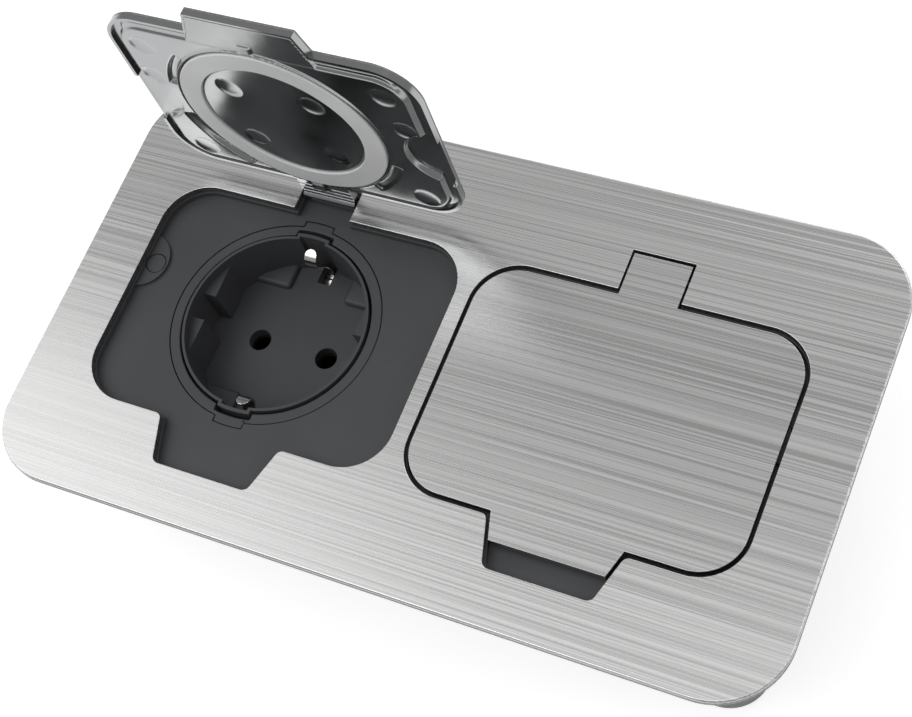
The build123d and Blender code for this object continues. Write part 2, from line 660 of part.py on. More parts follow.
def contact_base(side):
    x, y = socket_centre(side)
    base = disc(BASE_RADIUS, BASE_BOTTOM, CUP_BOTTOM)
    groove = STRAP_WIDTH / 2 + STRAP_GAP
    reach = BASE_RADIUS + 1
    base -= block(-groove, groove, -reach, reach, CUP_BOTTOM - STRAP_THICK - 2 * STRAP_GAP, CUP_BOTTOM + 1)
    post = POST_SIZE / 2 + STRAP_GAP
    base -= block(-post, post, -post, post, BASE_BOTTOM - 1, CUP_BOTTOM + 1)
    bore = SLEEVE_BORE + SLEEVE_WALL + SLEEVE_GAP
    for sign in (-1, 1):
        base -= disc(bore, BASE_BOTTOM - 1, CUP_BOTTOM + 1, sign * PIN_SPACING / 2)
        base -= slab(bridge_outline(sign, SLEEVE_GAP), BASE_BOTTOM - 1, SLEEVE_BOTTOM + SLEEVE_GAP)
        pocket = Pos(sign * TERMINAL_X, sign * TERMINAL_Y) * terminal_outline(SLEEVE_GAP)
        base -= slab(pocket, BASE_BOTTOM - 1, LINK_TOP + TERMINAL_HEIGHT + SLEEVE_GAP)
    for px, py in base_screw_places():
        base -= disc(SCREW_RADIUS + SCREW_CLEARANCE, BASE_BOTTOM - 1, CUP_BOTTOM + 1, px, py)
    return Pos(x, y) * base


def contact(side, sign):
    """Split sleeve for one plug pin, with the block that its wire is clamped in."""
    x, y = socket_centre(side)
    px = sign * PIN_SPACING / 2
    sleeve = ring(SLEEVE_BORE + SLEEVE_WALL, SLEEVE_BORE, SLEEVE_BOTTOM, SLEEVE_BOTTOM + SLEEVE_LENGTH, px)
    slit = SLEEVE_SLIT / 2
    sleeve -= block(px - slit, px + slit, -2 * SLEEVE_BORE, 0, SLEEVE_BOTTOM + 1, CUP_BOTTOM)
    strip = slab(bridge_outline(sign, 0), SLEEVE_BOTTOM - BRIDGE_THICK, SLEEVE_BOTTOM)
    strip -= disc(SLEEVE_BORE, SLEEVE_BOTTOM - BRIDGE_THICK - 1, SLEEVE_BOTTOM + 1, px)
    terminal = slab(terminal_outline(0), LINK_TOP, LINK_TOP + TERMINAL_HEIGHT)
    tx, ty = sign * TERMINAL_X, sign * TERMINAL_Y
    body = sleeve + strip + Pos(tx, ty) * terminal
    body -= disc(SCREW_RADIUS + SCREW_FIT, LINK_TOP - 1, LINK_TOP + TERMINAL_HEIGHT - 1, tx, ty)
    return Pos(x, y) * (body - disc(SLEEVE_BORE, BASE_BOTTOM - 1, CUP_BOTTOM, px))


def terminal_places():
    return {"neutral": (-TERMINAL_X, -TERMINAL_Y), "earth": (0, 0), "line": (TERMINAL_X, TERMINAL_Y)}


def terminal_screws(side):
    length = LINK_THICK + TERMINAL_HEIGHT - 2
    return screw_set(side, terminal_places().values(), LINK_TOP - LINK_THICK, length)


def link_bar(name):
    """Bar from one socket's terminal to the other's."""
    tx, ty = terminal_places()[name]
    x0, y0 = socket_centre("left")
    x1, _ = socket_centre("right")
    bar = block(x0 + tx - LINK_WIDTH / 2, x1 + tx + LINK_WIDTH / 2, y0 + ty - LINK_WIDTH / 2,
                y0 + ty + LINK_WIDTH / 2, LINK_TOP - LINK_THICK, LINK_TOP)
    for x in (x0, x1):
        bar -= disc(SCREW_RADIUS + SCREW_FIT, LINK_TOP - 2 * LINK_THICK, LINK_TOP + 1, x + tx, y0 + ty)
    return bar


def base_screws(side):
    return screw_set(side, base_screw_places(), BASE_BOTTOM, BASE_THICK + WELL_FLOOR - 1)


# fixing screws and their caps
def fixing_screws():
    screws = []
    for side in SIDES:
        x, y = cap_place(side)
        head_top = FIXING_SEAT + SCREW_HEAD_HEIGHT
        head = disc(FIXING_HEAD_RADIUS, FIXING_SEAT, head_top, x, y)
        shank = disc(SCREW_RADIUS, FIXING_SEAT - FIXING_LENGTH, FIXING_SEAT, x, y)
        recess = disc(RECESS_RADIUS, head_top - RECESS_DEPTH, head_top + 1, x, y)
        screws.append(head + shank - recess)
    return Compound(children=screws)


def screw_cap(side):
    x, y = cap_place(side)
    top = TRAY + CAP_PAD_STAND
    cap = disc(CAP_RADIUS, top - CAP_THICK, top, x, y)
    return chamfer(cap.edges().group_by(Axis.Z)[-1], CAP_GAP)


# rear housing with its seal
def housing_outline(inset):
    return RectangleRounded(HOUSING_LENGTH - 2 * inset, HOUSING_WIDTH - 2 * inset, HOUSING_CORNER - inset)


def base_hole_places():
    x = HOUSING_LENGTH / 2 - BASE_HOLE_END_INSET
    y = HOUSING_WIDTH / 2 - BASE_HOLE_SIDE_INSET
    return [(sx * x, sy * y) for sx in (-1, 1) for sy in (-1, 1)]


def knockouts():
    """Ring grooves round the blanked cable entries in the front wall and the end walls."""
    z = GLAND_Z
    height = 2 * KNOCKOUT_DEPTH
    groove = Cylinder(KNOCKOUT_RADIUS, height) - Cylinder(KNOCKOUT_RADIUS - KNOCKOUT_GROOVE, height)
    places = [Pos(sx * GLAND_X, -HOUSING_WIDTH / 2, z) * Rot(90, 0, 0) for sx in (-1, 1)]
    places += [Pos(sx * HOUSING_LENGTH / 2, 0, z) * Rot(0, 90, 0) for sx in (-1, 1)]
    places += [Pos(-GLAND_X, HOUSING_WIDTH / 2, z) * Rot(90, 0, 0)]
    return [place * groove for place in places]


def housing_ribs():
    """Low stiffening ribs across the floor."""
    half = (HOUSING_WIDTH - HOUSING_WALL) / 2
    top = HOUSING_FLOOR + HOUSING_RIB_HEIGHT
    ribs = []
    for k in range(HOUSING_RIBS):
        x = (k - (HOUSING_RIBS - 1) / 2) * HOUSING_RIB_PITCH
        x0 = x - HOUSING_RIB_THICK / 2
        ribs.append(block(x0, x0 + HOUSING_RIB_THICK, -half, half, HOUSING_FLOOR / 2, top))
    return ribs


def rear_housing():
    body = slab(housing_outline(0), 0, HOUSING_TOP)
    body = chamfer(body.edges().group_by(Axis.Z)[0], HOUSING_CHAMFER)
    body -= slab(housing_outline(HOUSING_WALL), HOUSING_FLOOR, HOUSING_TOP + 1)
    for rib in housing_ribs():
        body += rib
    for side in SIDES:
        x, y = cap_place(side)
        reach = SIDES[side] * (HOUSING_LENGTH / 2 - HOUSING_WALL / 2)
        x0, x1 = sorted((x, reach))
        foot = HOUSING_FLOOR / 2
        half = HOUSING_RIB_THICK / 2
        body += disc(PILLAR_RADIUS, foot, SKIRT_BOTTOM, x, y)
        body += block(x0, x1, y - half, y + half, foot, SKIRT_BOTTOM)
        bore_end = FIXING_SEAT - FIXING_LENGTH - PILLAR_BORE_SPARE
        body -= disc(SCREW_RADIUS + SCREW_FIT, bore_end, SKIRT_BOTTOM + 1, x, y)
    for x, y in base_hole_places():
        body += disc(BASE_BOSS_RADIUS, HOUSING_FLOOR / 2, HOUSING_FLOOR + BASE_BOSS_HEIGHT, x, y)
        body -= disc(BASE_HOLE_RADIUS, -1, HOUSING_FLOOR + BASE_BOSS_HEIGHT + 1, x, y)
    wall = HOUSING_WIDTH / 2
    body -= rod_y(GLAND_THREAD + SCREW_FIT, wall - HOUSING_WALL - 1, wall + 1, GLAND_X, GLAND_Z)
    for groove in knockouts():
        body -= groove
    return body


def housing_seal():
    return slab(housing_outline(0) - housing_outline(HOUSING_WALL), HOUSING_TOP, CARRIER_BOTTOM)


# cable gland
def gland_body():
    wall = HOUSING_WIDTH / 2
    inner = wall - HOUSING_WALL - GLAND_NUT_THICK - BRIDGE_THICK
    collar = wall + GLAND_COLLAR
    body = rod_y(GLAND_THREAD, inner, wall, GLAND_X, GLAND_Z)
    body += hexagon_y(GLAND_FLATS, wall, collar, GLAND_X, GLAND_Z)
    body += rod_y(GLAND_CAP_THREAD, collar, collar + GLAND_CAP_LENGTH / 2, GLAND_X, GLAND_Z)
    return body - rod_y(GLAND_BORE, inner - 1, collar + GLAND_CAP_LENGTH, GLAND_X, GLAND_Z)


def gland_locknut():
    wall = HOUSING_WIDTH / 2 - HOUSING_WALL
    nut = hexagon_y(GLAND_NUT_FLATS, wall - GLAND_NUT_THICK, wall, GLAND_X, GLAND_Z)
    return nut - rod_y(GLAND_THREAD + SCREW_FIT, wall - 10, wall + 1, GLAND_X, GLAND_Z)


def gland_seal():
    start = HOUSING_WIDTH / 2 + GLAND_COLLAR + GLAND_CAP_LENGTH - GLAND_CAP_LIP - GLAND_SEAL_LENGTH
    seal = rod_y(GLAND_BORE - SCREW_FIT, start, start + GLAND_SEAL_LENGTH, GLAND_X, GLAND_Z)
    return seal - rod_y(CABLE_RADIUS, start - 1, start + GLAND_SEAL_LENGTH + 1, GLAND_X, GLAND_Z)


def gland_cap():
    """Cap nut with a domed end, which presses the rubber seal on the cable."""
    start = HOUSING_WIDTH / 2 + GLAND_COLLAR
    end = start + GLAND_CAP_LENGTH
    half = GLAND_CAP_FLATS / 2
    cap = hexagon_y(GLAND_CAP_FLATS, start, end, GLAND_X, GLAND_Z)
    profile = Polyline((0, start), (2 * half, start), (half - 2, end), (0, end), close=True)
    dome = Pos(GLAND_X, 0, GLAND_Z) * revolve(make_face(profile), Axis.Y)
    cap &= dome
    thread_end = start + GLAND_CAP_LENGTH / 2 + RING_FIT
    cap -= rod_y(GLAND_CAP_THREAD + SCREW_FIT, start - 1, thread_end, GLAND_X, GLAND_Z)
    cap -= rod_y(GLAND_BORE, start - 1, end - GLAND_CAP_LIP, GLAND_X, GLAND_Z)
    return cap - rod_y(CABLE_RADIUS + CABLE_MOUTH_CLEARANCE, start - 1, end + 1, GLAND_X, GLAND_Z)


# hinge and lid
def hinge_pin(side):
    return Pos(opening_centre(side), 0) * rod_x(HINGE_PIN_RADIUS, HINGE_PIN_LENGTH, HINGE_Y, HINGE_Z)


def lid_pose(side, shape):
    """Puts a closed lid's piece in its opening. The left lid stands open at rest."""
    placed = Pos(opening_centre(side), 0) * shape
    if side == "left":
        placed = placed.rotate(Axis((0, HINGE_Y, HINGE_Z), (1, 0, 0)), -LID_OPEN_ANGLE)
    return placed


def lid_skin(side):
    return lid_pose(side, slab(lid_outline(), depth(SKIN_THICK), PLATE_TOP))


def dimple_places():
    """Ejector marks: four on the polished disc and six round it, with the depth of the face they are in."""
    ends = LID_LENGTH / 2
    x, y = SOCKET_X, SOCKET_Y
    inner = [(x + sx * DISC_MARK_X, y + sy * DISC_MARK_Y, DISC_DEPTH) for sx in (-1, 1) for sy in (-1, 1)]
    rows = (LID_FRONT + END_MARK_FRONT, LID_FRONT + END_MARK_MIDDLE, LID_BACK - END_MARK_BACK)
    outer = [(sx * (ends - END_MARK_INSET), row, PLATEAU_DEPTH) for sx in (-1, 1) for row in rows]
    return inner + outer


def lid_underside():
    """Raised inside of the lid casting, with the moat, the gasket seat and the retainers."""
    low = depth(PLATEAU_DEPTH)
    web = depth(WEB_DEPTH)
    gx, gy = SOCKET_X, SOCKET_Y
    seat = GASKET_OUTER + RING_FIT
    lip = seat + LIP_WIDTH
    plateau = slab(lid_main_outline(PLATEAU_SET_IN), low, web)
    moat = ring(lip + MOAT_WIDTH, lip, low - 1, web, gx, gy)
    bridge = NOTCH_WIDTH_FRONT / 3
    plateau -= moat - block(-bridge, bridge, NOTCH_FRONT, SLOT_END, low - 2, web + 1)
    plateau += slab(finger_tab_outline(RIM_WIDTH / 2, LID_FRONT + PLATEAU_SET_IN), depth(RIM_DEPTH), web)
    plateau += ring(lip, seat, depth(PLATEAU_DEPTH + LIP_STAND), web, gx, gy)
    plateau -= disc(seat, low - 1, depth(SEAT_DEPTH), gx, gy)
    plateau += disc(GASKET_INNER - RING_FIT, depth(DISC_DEPTH), web, gx, gy)
    half = RETAINER_WIDTH / 2
    for sign in (-1, 1):
        y0, y1 = sorted((gy + sign * (lip - LIP_WIDTH / 2), gy + sign * (lip + MOAT_WIDTH)))
        plateau += block(gx - half, gx + half, y0, y1, depth(GASKET_DEPTH), web)
    return plateau


def hinge_tab():
    """Tab with its knuckle round the pin and a few ridges across it."""
    half = TAB_WIDTH / 2
    start = SOCKET_Y + GASKET_OUTER + RING_FIT + LIP_WIDTH
    tab = block(-half, half, start, TAB_BACK, depth(TAB_DEPTH), depth(SKIN_THICK))
    knuckle = rod_x(KNUCKLE_RADIUS, TAB_WIDTH, HINGE_Y, HINGE_Z)
    knuckle &= block(-half, half, start, TAB_BACK, HINGE_Z - 2 * KNUCKLE_RADIUS, depth(SKIN_THICK))
    for k in range(TAB_RIDGES):
        y = LID_BACK + TAB_RIDGE_PITCH * (k + 0.5)
        groove_end = depth(TAB_DEPTH - TAB_RIDGE_DEPTH)
        tab -= block(-half, half, y, y + TAB_RIDGE_PITCH / 2, depth(TAB_DEPTH) - 1, groove_end)
    return tab + knuckle - rod_x(HINGE_PIN_RADIUS + HINGE_CLEARANCE, SLOT_WIDTH, HINGE_Y, HINGE_Z)


def lid_frame(side):
    web = slab(lid_outline(), depth(WEB_DEPTH), depth(SKIN_THICK))
    main = lid_main_outline(0) + finger_tab_outline(0, LID_FRONT + RIM_WIDTH)
    inner = lid_main_outline(RIM_WIDTH) + finger_tab_outline(RIM_WIDTH, LID_FRONT + 2 * RIM_WIDTH)
    rim = slab(main - inner, depth(RIM_DEPTH), depth(WEB_DEPTH))
    frame = rim + lid_underside()
    for sign in (-1, 1):
        end = sign * LID_LENGTH / 2
        frame -= disc(SCALLOP_RADIUS, depth(PLATEAU_DEPTH + 1), depth(WEB_DEPTH), end, SCALLOP_Y)
    for x, y, face in dimple_places():
        frame -= disc(DIMPLE_RADIUS, depth(face + 1), depth(face - DIMPLE_DEPTH), x, y)
    frame = frame + web
    pin_space = rod_x(HINGE_PIN_RADIUS + HINGE_CLEARANCE, SLOT_WIDTH, HINGE_Y, HINGE_Z)
    return lid_pose(side, frame - pin_space + hinge_tab())


def lid_gasket(side):
    gasket = ring(GASKET_OUTER, GASKET_INNER, depth(GASKET_DEPTH), depth(SEAT_DEPTH), SOCKET_X, SOCKET_Y)
    return lid_pose(side, gasket)


def one_socket(side):
    """Every piece of one socket with its lid."""
    return {
        "screw_cap": screw_cap(side),
        "collar_ring": collar_ring(side),
        "insert_seal": insert_seal(side),
        "socket_insert": socket_insert(side),
        "insert_screws": insert_screws(side),
        "earth_strap": earth_strap(side),
        "contact_base": contact_base(side),
        "line_contact": contact(side, 1),
        "neutral_contact": contact(side, -1),
        "terminal_screws": terminal_screws(side),
        "base_screws": base_screws(side),
        "hinge_pin": hinge_pin(side),
        "lid_skin": lid_skin(side),
        "lid_frame": lid_frame(side),
        "lid_gasket": lid_gasket(side),
    }


def all_parts():
    parts = {
        "cover_plate": cover_plate(),
        "plate_seal": plate_seal(),
        "plate_nuts": plate_nuts(),
        "socket_carrier": socket_carrier(),
        "housing_seal": housing_seal(),
        "rear_housing": rear_housing(),
        "fixing_screws": fixing_screws(),
        "gland_body": gland_body(),
        "gland_locknut": gland_locknut(),
        "gland_seal": gland_seal(),
        "gland_cap": gland_cap(),
    }
    for name in terminal_places():
        parts[name + "_link"] = link_bar(name)
    for side in SIDES:
        for name, shape in one_socket(side).items():
            parts[side + "_" + name] = shape
    return parts


os.makedirs("parts", exist_ok=True)
for name, shape in all_parts().items():
    export_step(shape, "parts/" + name + ".step")
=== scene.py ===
"""Double weatherproof socket: a brushed steel cover plate with two hinged lids, one of them open,
over round earthed socket wells in dark mouldings, on a sealed rear housing with a cable gland.
Metres, in the CAD model's frame: X runs along the plate, Y from the finger notches to the hinges,
Z out of the wall."""

import json
import math

import bmesh
import bpy
import numpy as np
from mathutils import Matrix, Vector


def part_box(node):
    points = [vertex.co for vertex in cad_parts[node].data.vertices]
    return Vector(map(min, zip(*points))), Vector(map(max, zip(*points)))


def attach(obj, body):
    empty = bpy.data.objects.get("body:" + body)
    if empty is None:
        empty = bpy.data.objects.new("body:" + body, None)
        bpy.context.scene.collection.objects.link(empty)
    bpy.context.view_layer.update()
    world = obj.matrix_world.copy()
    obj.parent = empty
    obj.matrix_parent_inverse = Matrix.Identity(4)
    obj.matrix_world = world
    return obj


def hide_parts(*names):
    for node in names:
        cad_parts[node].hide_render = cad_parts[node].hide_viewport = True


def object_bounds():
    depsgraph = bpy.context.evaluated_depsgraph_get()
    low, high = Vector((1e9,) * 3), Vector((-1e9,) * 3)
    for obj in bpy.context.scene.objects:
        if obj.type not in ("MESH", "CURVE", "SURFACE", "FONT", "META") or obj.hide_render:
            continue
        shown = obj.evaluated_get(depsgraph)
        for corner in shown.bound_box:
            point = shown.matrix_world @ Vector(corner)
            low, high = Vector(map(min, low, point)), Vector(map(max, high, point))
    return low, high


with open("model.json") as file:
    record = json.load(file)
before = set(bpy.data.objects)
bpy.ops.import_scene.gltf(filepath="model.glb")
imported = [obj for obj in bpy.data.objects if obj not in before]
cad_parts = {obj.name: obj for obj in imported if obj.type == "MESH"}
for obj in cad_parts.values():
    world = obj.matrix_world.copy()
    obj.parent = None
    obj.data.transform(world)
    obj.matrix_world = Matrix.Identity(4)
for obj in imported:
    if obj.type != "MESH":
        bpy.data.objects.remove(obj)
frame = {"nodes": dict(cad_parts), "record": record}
cad_low, cad_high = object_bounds()

# Camera
# The view was worked out from the straight edges of the plate and its openings in the photograph,
# so its lens, place, turn and shift are the photograph's own.
camera_data = bpy.data.cameras.new("camera")
camera_data.sensor_width = 36.0
camera_data.lens = 71.624
camera_data.shift_x = 0.03718
camera_data.shift_y = 0.02252
camera_data.clip_start = 0.02
camera_data.clip_end = 20.0
camera = bpy.data.objects.new("camera", camera_data)
camera.location = (0.15648, -0.14054, 0.41572)
camera.rotation_euler = [math.radians(turn) for turn in (26.1124, 14.0225, 22.9982)]
bpy.context.collection.objects.link(camera)
bpy.context.scene.camera = camera
bpy.context.scene.view_settings.view_transform = "Standard"


# Floor
# A plain pale floor, just under the housing's back face. It takes the object's soft shadow and is no
# part of the object.
def link(name, mesh):
    """New object at the origin with this mesh."""
    piece = bpy.data.objects.new(name, mesh)
    bpy.context.collection.objects.link(piece)
    return piece


def wire(tree, source, target):
    tree.links.new(source, target)


STAGE_COLOUR = (0.55, 0.55, 0.55)
STAGE_GLOW = 0.72


def pale_stage_material(name, glow):
    """Matt white that keeps shadows. Camera and mirror rays see it a little brighter, as a lit backdrop."""
    material = bpy.data.materials.new(name)
    material.use_nodes = True
    tree = material.node_tree
    nodes = tree.nodes
    shader = nodes["Principled BSDF"]
    shader.inputs["Base Color"].default_value = (*STAGE_COLOUR, 1)
    shader.inputs["Roughness"].default_value = 0.9
    shader.inputs["Specular IOR Level"].default_value = 0.1
    ray = nodes.new("ShaderNodeLightPath")
    seen = ray.outputs["Is Camera Ray"]
    for kind in ("Is Glossy Ray", "Is Transmission Ray"):
        either = nodes.new("ShaderNodeMath")
        either.operation = "MAXIMUM"
        wire(tree, seen, either.inputs[0])
        wire(tree, ray.outputs[kind], either.inputs[1])
        seen = either.outputs[0]
    strength = nodes.new("ShaderNodeMath")
    strength.operation = "MULTIPLY"
    strength.inputs[1].default_value = glow
    wire(tree, seen, strength.inputs[0])
    glow_shader = nodes.new("ShaderNodeEmission")
    wire(tree, strength.outputs[0], glow_shader.inputs["Strength"])
    both = nodes.new("ShaderNodeAddShader")
    wire(tree, shader.outputs[0], both.inputs[0])
    wire(tree, glow_shader.outputs[0], both.inputs[1])
    wire(tree, both.outputs[0], nodes["Material Output"].inputs["Surface"])
    return material


FLOOR_HALF = 12.0
FLOOR_DROP = 0.0002
floor_mesh = bpy.data.meshes.new("floor")
floor_signs = ((-1, -1), (1, -1), (1, 1), (-1, 1))
floor_corners = [(sx * FLOOR_HALF, sy * FLOOR_HALF, -FLOOR_DROP) for sx, sy in floor_signs]
floor_mesh.from_pydata(floor_corners, [], [(0, 1, 2, 3)])
floor = link("floor", floor_mesh)
floor_mesh.materials.append(pale_stage_material("floor_white", STAGE_GLOW))


# Studio light
# A broad soft panel on the left and one overhead give the steel its slow change from bright to grey.
# One at the front of the ceiling and one behind fill the shadows, a small one on the right catches
# the edges, and the room is an even pale grey.
def soft_panel(name, place, aim, size, power):
    """Square area light at a place, facing a point."""
    data = bpy.data.lights.new(name, "AREA")
    data.shape = "SQUARE"
    data.size = size
    data.energy = power
    lamp = bpy.data.objects.new(name, data)
    lamp.location = place
    lamp.rotation_euler = (Vector(aim) - Vector(place)).to_track_quat("-Z", "Y").to_euler()
    bpy.context.collection.objects.link(lamp)


PLATE_HEIGHT = 0.048
ROOM_LIGHT = 0.36
PLATE_CENTRE = (0.0, 0.0, cad_low.z + PLATE_HEIGHT)
soft_panel("left_panel", (-1.0, -0.2, 1.1), PLATE_CENTRE, 1.2, 4.2)
soft_panel("top_panel", (0.2, 0.05, 1.5), PLATE_CENTRE, 0.8, 1.0)
soft_panel("ceiling_panel", (-0.42, -0.5, 1.3), PLATE_CENTRE, 0.9, 4.5)
soft_panel("back_panel", (0.1, 1.1, 0.85), PLATE_CENTRE, 0.9, 5.0)
soft_panel("right_panel", (1.2, 0.2, 0.8), PLATE_CENTRE, 0.35, 1.3)
world = bpy.data.worlds.new("room")
bpy.context.scene.world = world
world.use_nodes = True
world.node_tree.nodes["Background"].inputs["Color"].default_value = (1, 1, 1, 1)
world.node_tree.nodes["Background"].inputs["Strength"].default_value = ROOM_LIGHT


# Rear housing and its seal
# Grey glass-filled moulding that goes into the wall, with blanked cable entries and a foam seal on
# its rim. Its edges are rounded by the mould.
WELD_DISTANCE = 1e-6
FLAT_ANGLE = math.radians(0.5)
SHARP_ANGLE = math.radians(32)


def merged_copy(node):
    """A CAD node's shape as a mesh of its own, with its loose triangles joined into flat faces."""
    shape = bmesh.new()
    shape.from_mesh(frame["nodes"][node].data)
    bmesh.ops.remove_doubles(shape, verts=shape.verts, dist=WELD_DISTANCE)
    bmesh.ops.dissolve_limit(shape, angle_limit=FLAT_ANGLE, verts=shape.verts, edges=shape.edges)
    bare = bpy.data.meshes.new(node + "_bare")
    shape.verts.index_update()
    faces = [[corner.index for corner in face.verts] for face in shape.faces]
    bare.from_pydata([vert.co.copy() for vert in shape.verts], [], faces)
    shape.free()
    return link(node + "_finished", bare)


def round_edges(piece, radius, segments=2):
    """Rounds the sharp edges of a piece and gives it smooth shading."""
    bare = piece.data
    bare.polygons.foreach_set("use_smooth", [True] * len(bare.polygons))
    bevel = piece.modifiers.new("edge", "BEVEL")
    bevel.width = radius
    bevel.segments = segments
    bevel.limit_method = "ANGLE"
    bevel.angle_limit = SHARP_ANGLE
    bevel.harden_normals = True
    bevel.miter_outer = "MITER_ARC"
    result = bpy.data.meshes.new_from_object(piece.evaluated_get(bpy.context.evaluated_depsgraph_get()))
    piece.modifiers.clear()
    piece.data = result
    result.name = piece.name
    bpy.data.meshes.remove(bare)
    return piece


def rounded_copy(node, radius, segments=2):
    """A CAD node's shape with its sharp edges rounded, at the same place."""
    return round_edges(merged_copy(node), radius, segments)


def body_of(node):
    """The body that a CAD node belongs to."""
    return next(name for name, members in frame["record"]["behaviour"]["bodies"].items() if node in members)


def take_place(piece, node, material):
    """Puts a finished piece where a CAD node is, on the same body, with its material."""
    piece.data.materials.clear()
    piece.data.materials.append(material)
    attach(piece, body_of(node))
    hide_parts(node)


def dress(node, material):
    """Gives a CAD node that stays as it is a better material."""
    mesh = frame["nodes"][node].data
    mesh.materials.clear()
    mesh.materials.append(material)


def plain_material(name, colour, roughness, metallic=0.0):
    """Principled material and its nodes, with the values that are the same all over."""
    material = bpy.data.materials.new(name)
    material.use_nodes = True
    shader = material.node_tree.nodes["Principled BSDF"]
    shader.inputs["Base Color"].default_value = (*colour, 1)
    shader.inputs["Roughness"].default_value = roughness
    shader.inputs["Metallic"].default_value = metallic
    return material, material.node_tree, shader


def object_noise(tree, scale, detail=2.0):
    """Noise on object coordinates, with its own scale along each axis, in cycles a metre."""
    place = tree.nodes.new("ShaderNodeTexCoord")
    stretch = tree.nodes.new("ShaderNodeMapping")
    stretch.inputs["Scale"].default_value = scale
    noise = tree.nodes.new("ShaderNodeTexNoise")
    noise.inputs["Scale"].default_value = 1.0
    noise.inputs["Detail"].default_value = detail
    wire(tree, place.outputs["Object"], stretch.inputs["Vector"])
    wire(tree, stretch.outputs["Vector"], noise.inputs["Vector"])
    return noise.outputs["Fac"]


def spread(tree, value, low, high, reach=0.2):
    """Maps a noise's middle range, as far as reach from its mean, to low and high."""
    span = tree.nodes.new("ShaderNodeMapRange")
    span.inputs["From Min"].default_value = 0.5 - reach
    span.inputs["From Max"].default_value = 0.5 + reach
    span.inputs["To Min"].default_value = low
    span.inputs["To Max"].default_value = high
    wire(tree, value, span.inputs["Value"])
    return span.outputs["Result"]


def tint(tree, value, dark, light, reach=0.2):
    """Colour between dark and light, by a noise."""
    mix = tree.nodes.new("ShaderNodeMix")
    mix.data_type = "RGBA"
    mix.inputs["A"].default_value = (*dark, 1)
    mix.inputs["B"].default_value = (*light, 1)
    wire(tree, spread(tree, value, 0.0, 1.0, reach), mix.inputs["Factor"])
    return mix.outputs["Result"]


def raise_bump(tree, shader, value, height):
    """Small surface relief of this height in metres."""
    bump = tree.nodes.new("ShaderNodeBump")
    bump.inputs["Strength"].default_value = 1.0
    bump.inputs["Distance"].default_value = height
    wire(tree, value, bump.inputs["Height"])
    wire(tree, bump.outputs["Normal"], shader.inputs["Normal"])


CLOUD_SCALE = (38.0, 38.0, 38.0)
CLOUD_CONTRAST = 0.1
SHINE_SPREAD = 0.05


def moulded_plastic(name, colour, roughness, grain=3200.0, depth=0.000012):
    """Moulded plastic: fine spark-eroded grain, slightly uneven shine and depth of colour."""
    material, tree, shader = plain_material(name, colour, roughness)
    shader.inputs["Specular IOR Level"].default_value = 0.45
    clouds = object_noise(tree, CLOUD_SCALE)
    fine = object_noise(tree, (grain, grain, grain), 1.0)
    dark = [channel * (1 - CLOUD_CONTRAST) for channel in colour]
    light = [channel * (1 + CLOUD_CONTRAST) for channel in colour]
    wire(tree, tint(tree, clouds, dark, light), shader.inputs["Base Color"])
    shine = spread(tree, fine, roughness - SHINE_SPREAD, roughness + SHINE_SPREAD)
    wire(tree, shine, shader.inputs["Roughness"])
    raise_bump(tree, shader, fine, depth)
    return material


housing_plastic = moulded_plastic("housing_plastic", (0.205, 0.21, 0.22), 0.5)
take_place(rounded_copy("rear_housing", radius=0.0004), "rear_housing", housing_plastic)
foam_black = moulded_plastic("foam_black", (0.03, 0.03, 0.031), 0.85, 1500.0, 0.00004)
dress("housing_seal", foam_black)

# Cable gland
# Moulded gland in the back wall, of a lighter grey than the housing: a body held by a locknut inside
# the wall, a rubber seal that grips the cable, and a cap nut with flats and a tapered end.
gland_plastic = moulded_plastic("gland_plastic", (0.42, 0.43, 0.44), 0.4)
for node in ("gland_body", "gland_locknut", "gland_cap"):
    take_place(rounded_copy(node, radius=0.00025), node, gland_plastic)
dress("gland_seal", foam_black)

# Contacts, links and terminals
# Brass sleeves, their colour painted near black as the shade down the pin holes, with their terminal
# blocks in a nearly black moulded base, three bright brass bars between the two sockets, and
# zinc-plated nuts and pan head screws.
brass, brass_tree, brass_shader = plain_material("stamped_brass", (0.76, 0.57, 0.26), 0.3, 1.0)
brass_clouds = object_noise(brass_tree, (160.0, 160.0, 160.0), 3.0)
brass_colour = tint(brass_tree, brass_clouds, (0.70, 0.50, 0.21), (0.80, 0.62, 0.30))
wire(brass_tree, brass_colour, brass_shader.inputs["Base Color"])
wire(brass_tree, spread(brass_tree, brass_clouds, 0.24, 0.4), brass_shader.inputs["Roughness"])
# Contact sleeves: brass painted near black, as painted shade down the pin holes.
shade_black_brass, dark_tree, dark_shader = plain_material("brass_in_painted_shade", (0.02, 0.016, 0.01), 0.6, 1.0)
dark_clouds = object_noise(dark_tree, (220.0, 220.0, 220.0), 3.0)
brass_shade_colour = tint(dark_tree, dark_clouds, (0.013, 0.01, 0.006), (0.028, 0.022, 0.014))
wire(dark_tree, brass_shade_colour, dark_shader.inputs["Base Color"])
base_plastic = moulded_plastic("base_plastic", (0.05, 0.05, 0.052), 0.5)
zinc, zinc_tree, zinc_shader = plain_material("zinc_plate", (0.62, 0.62, 0.60), 0.28, 1.0)
zinc_clouds = object_noise(zinc_tree, (400.0, 400.0, 400.0), 3.0)
wire(zinc_tree, spread(zinc_tree, zinc_clouds, 0.2, 0.38), zinc_shader.inputs["Roughness"])
zinc_colour = tint(zinc_tree, zinc_clouds, (0.56, 0.57, 0.58), (0.68, 0.67, 0.64))
wire(zinc_tree, zinc_colour, zinc_shader.inputs["Base Color"])
SCREW_HEAD_RADIUS = 0.0027
SCREW_HEAD_HEIGHT = 0.002
SCREW_SHANK_RADIUS = 0.0015
SCREW_SIDES = 24
SCREW_TAPER = 0.8
RECESS_LENGTH = 0.0026
RECESS_WIDTH = 0.0006
RECESS_DEPTH = 0.0011


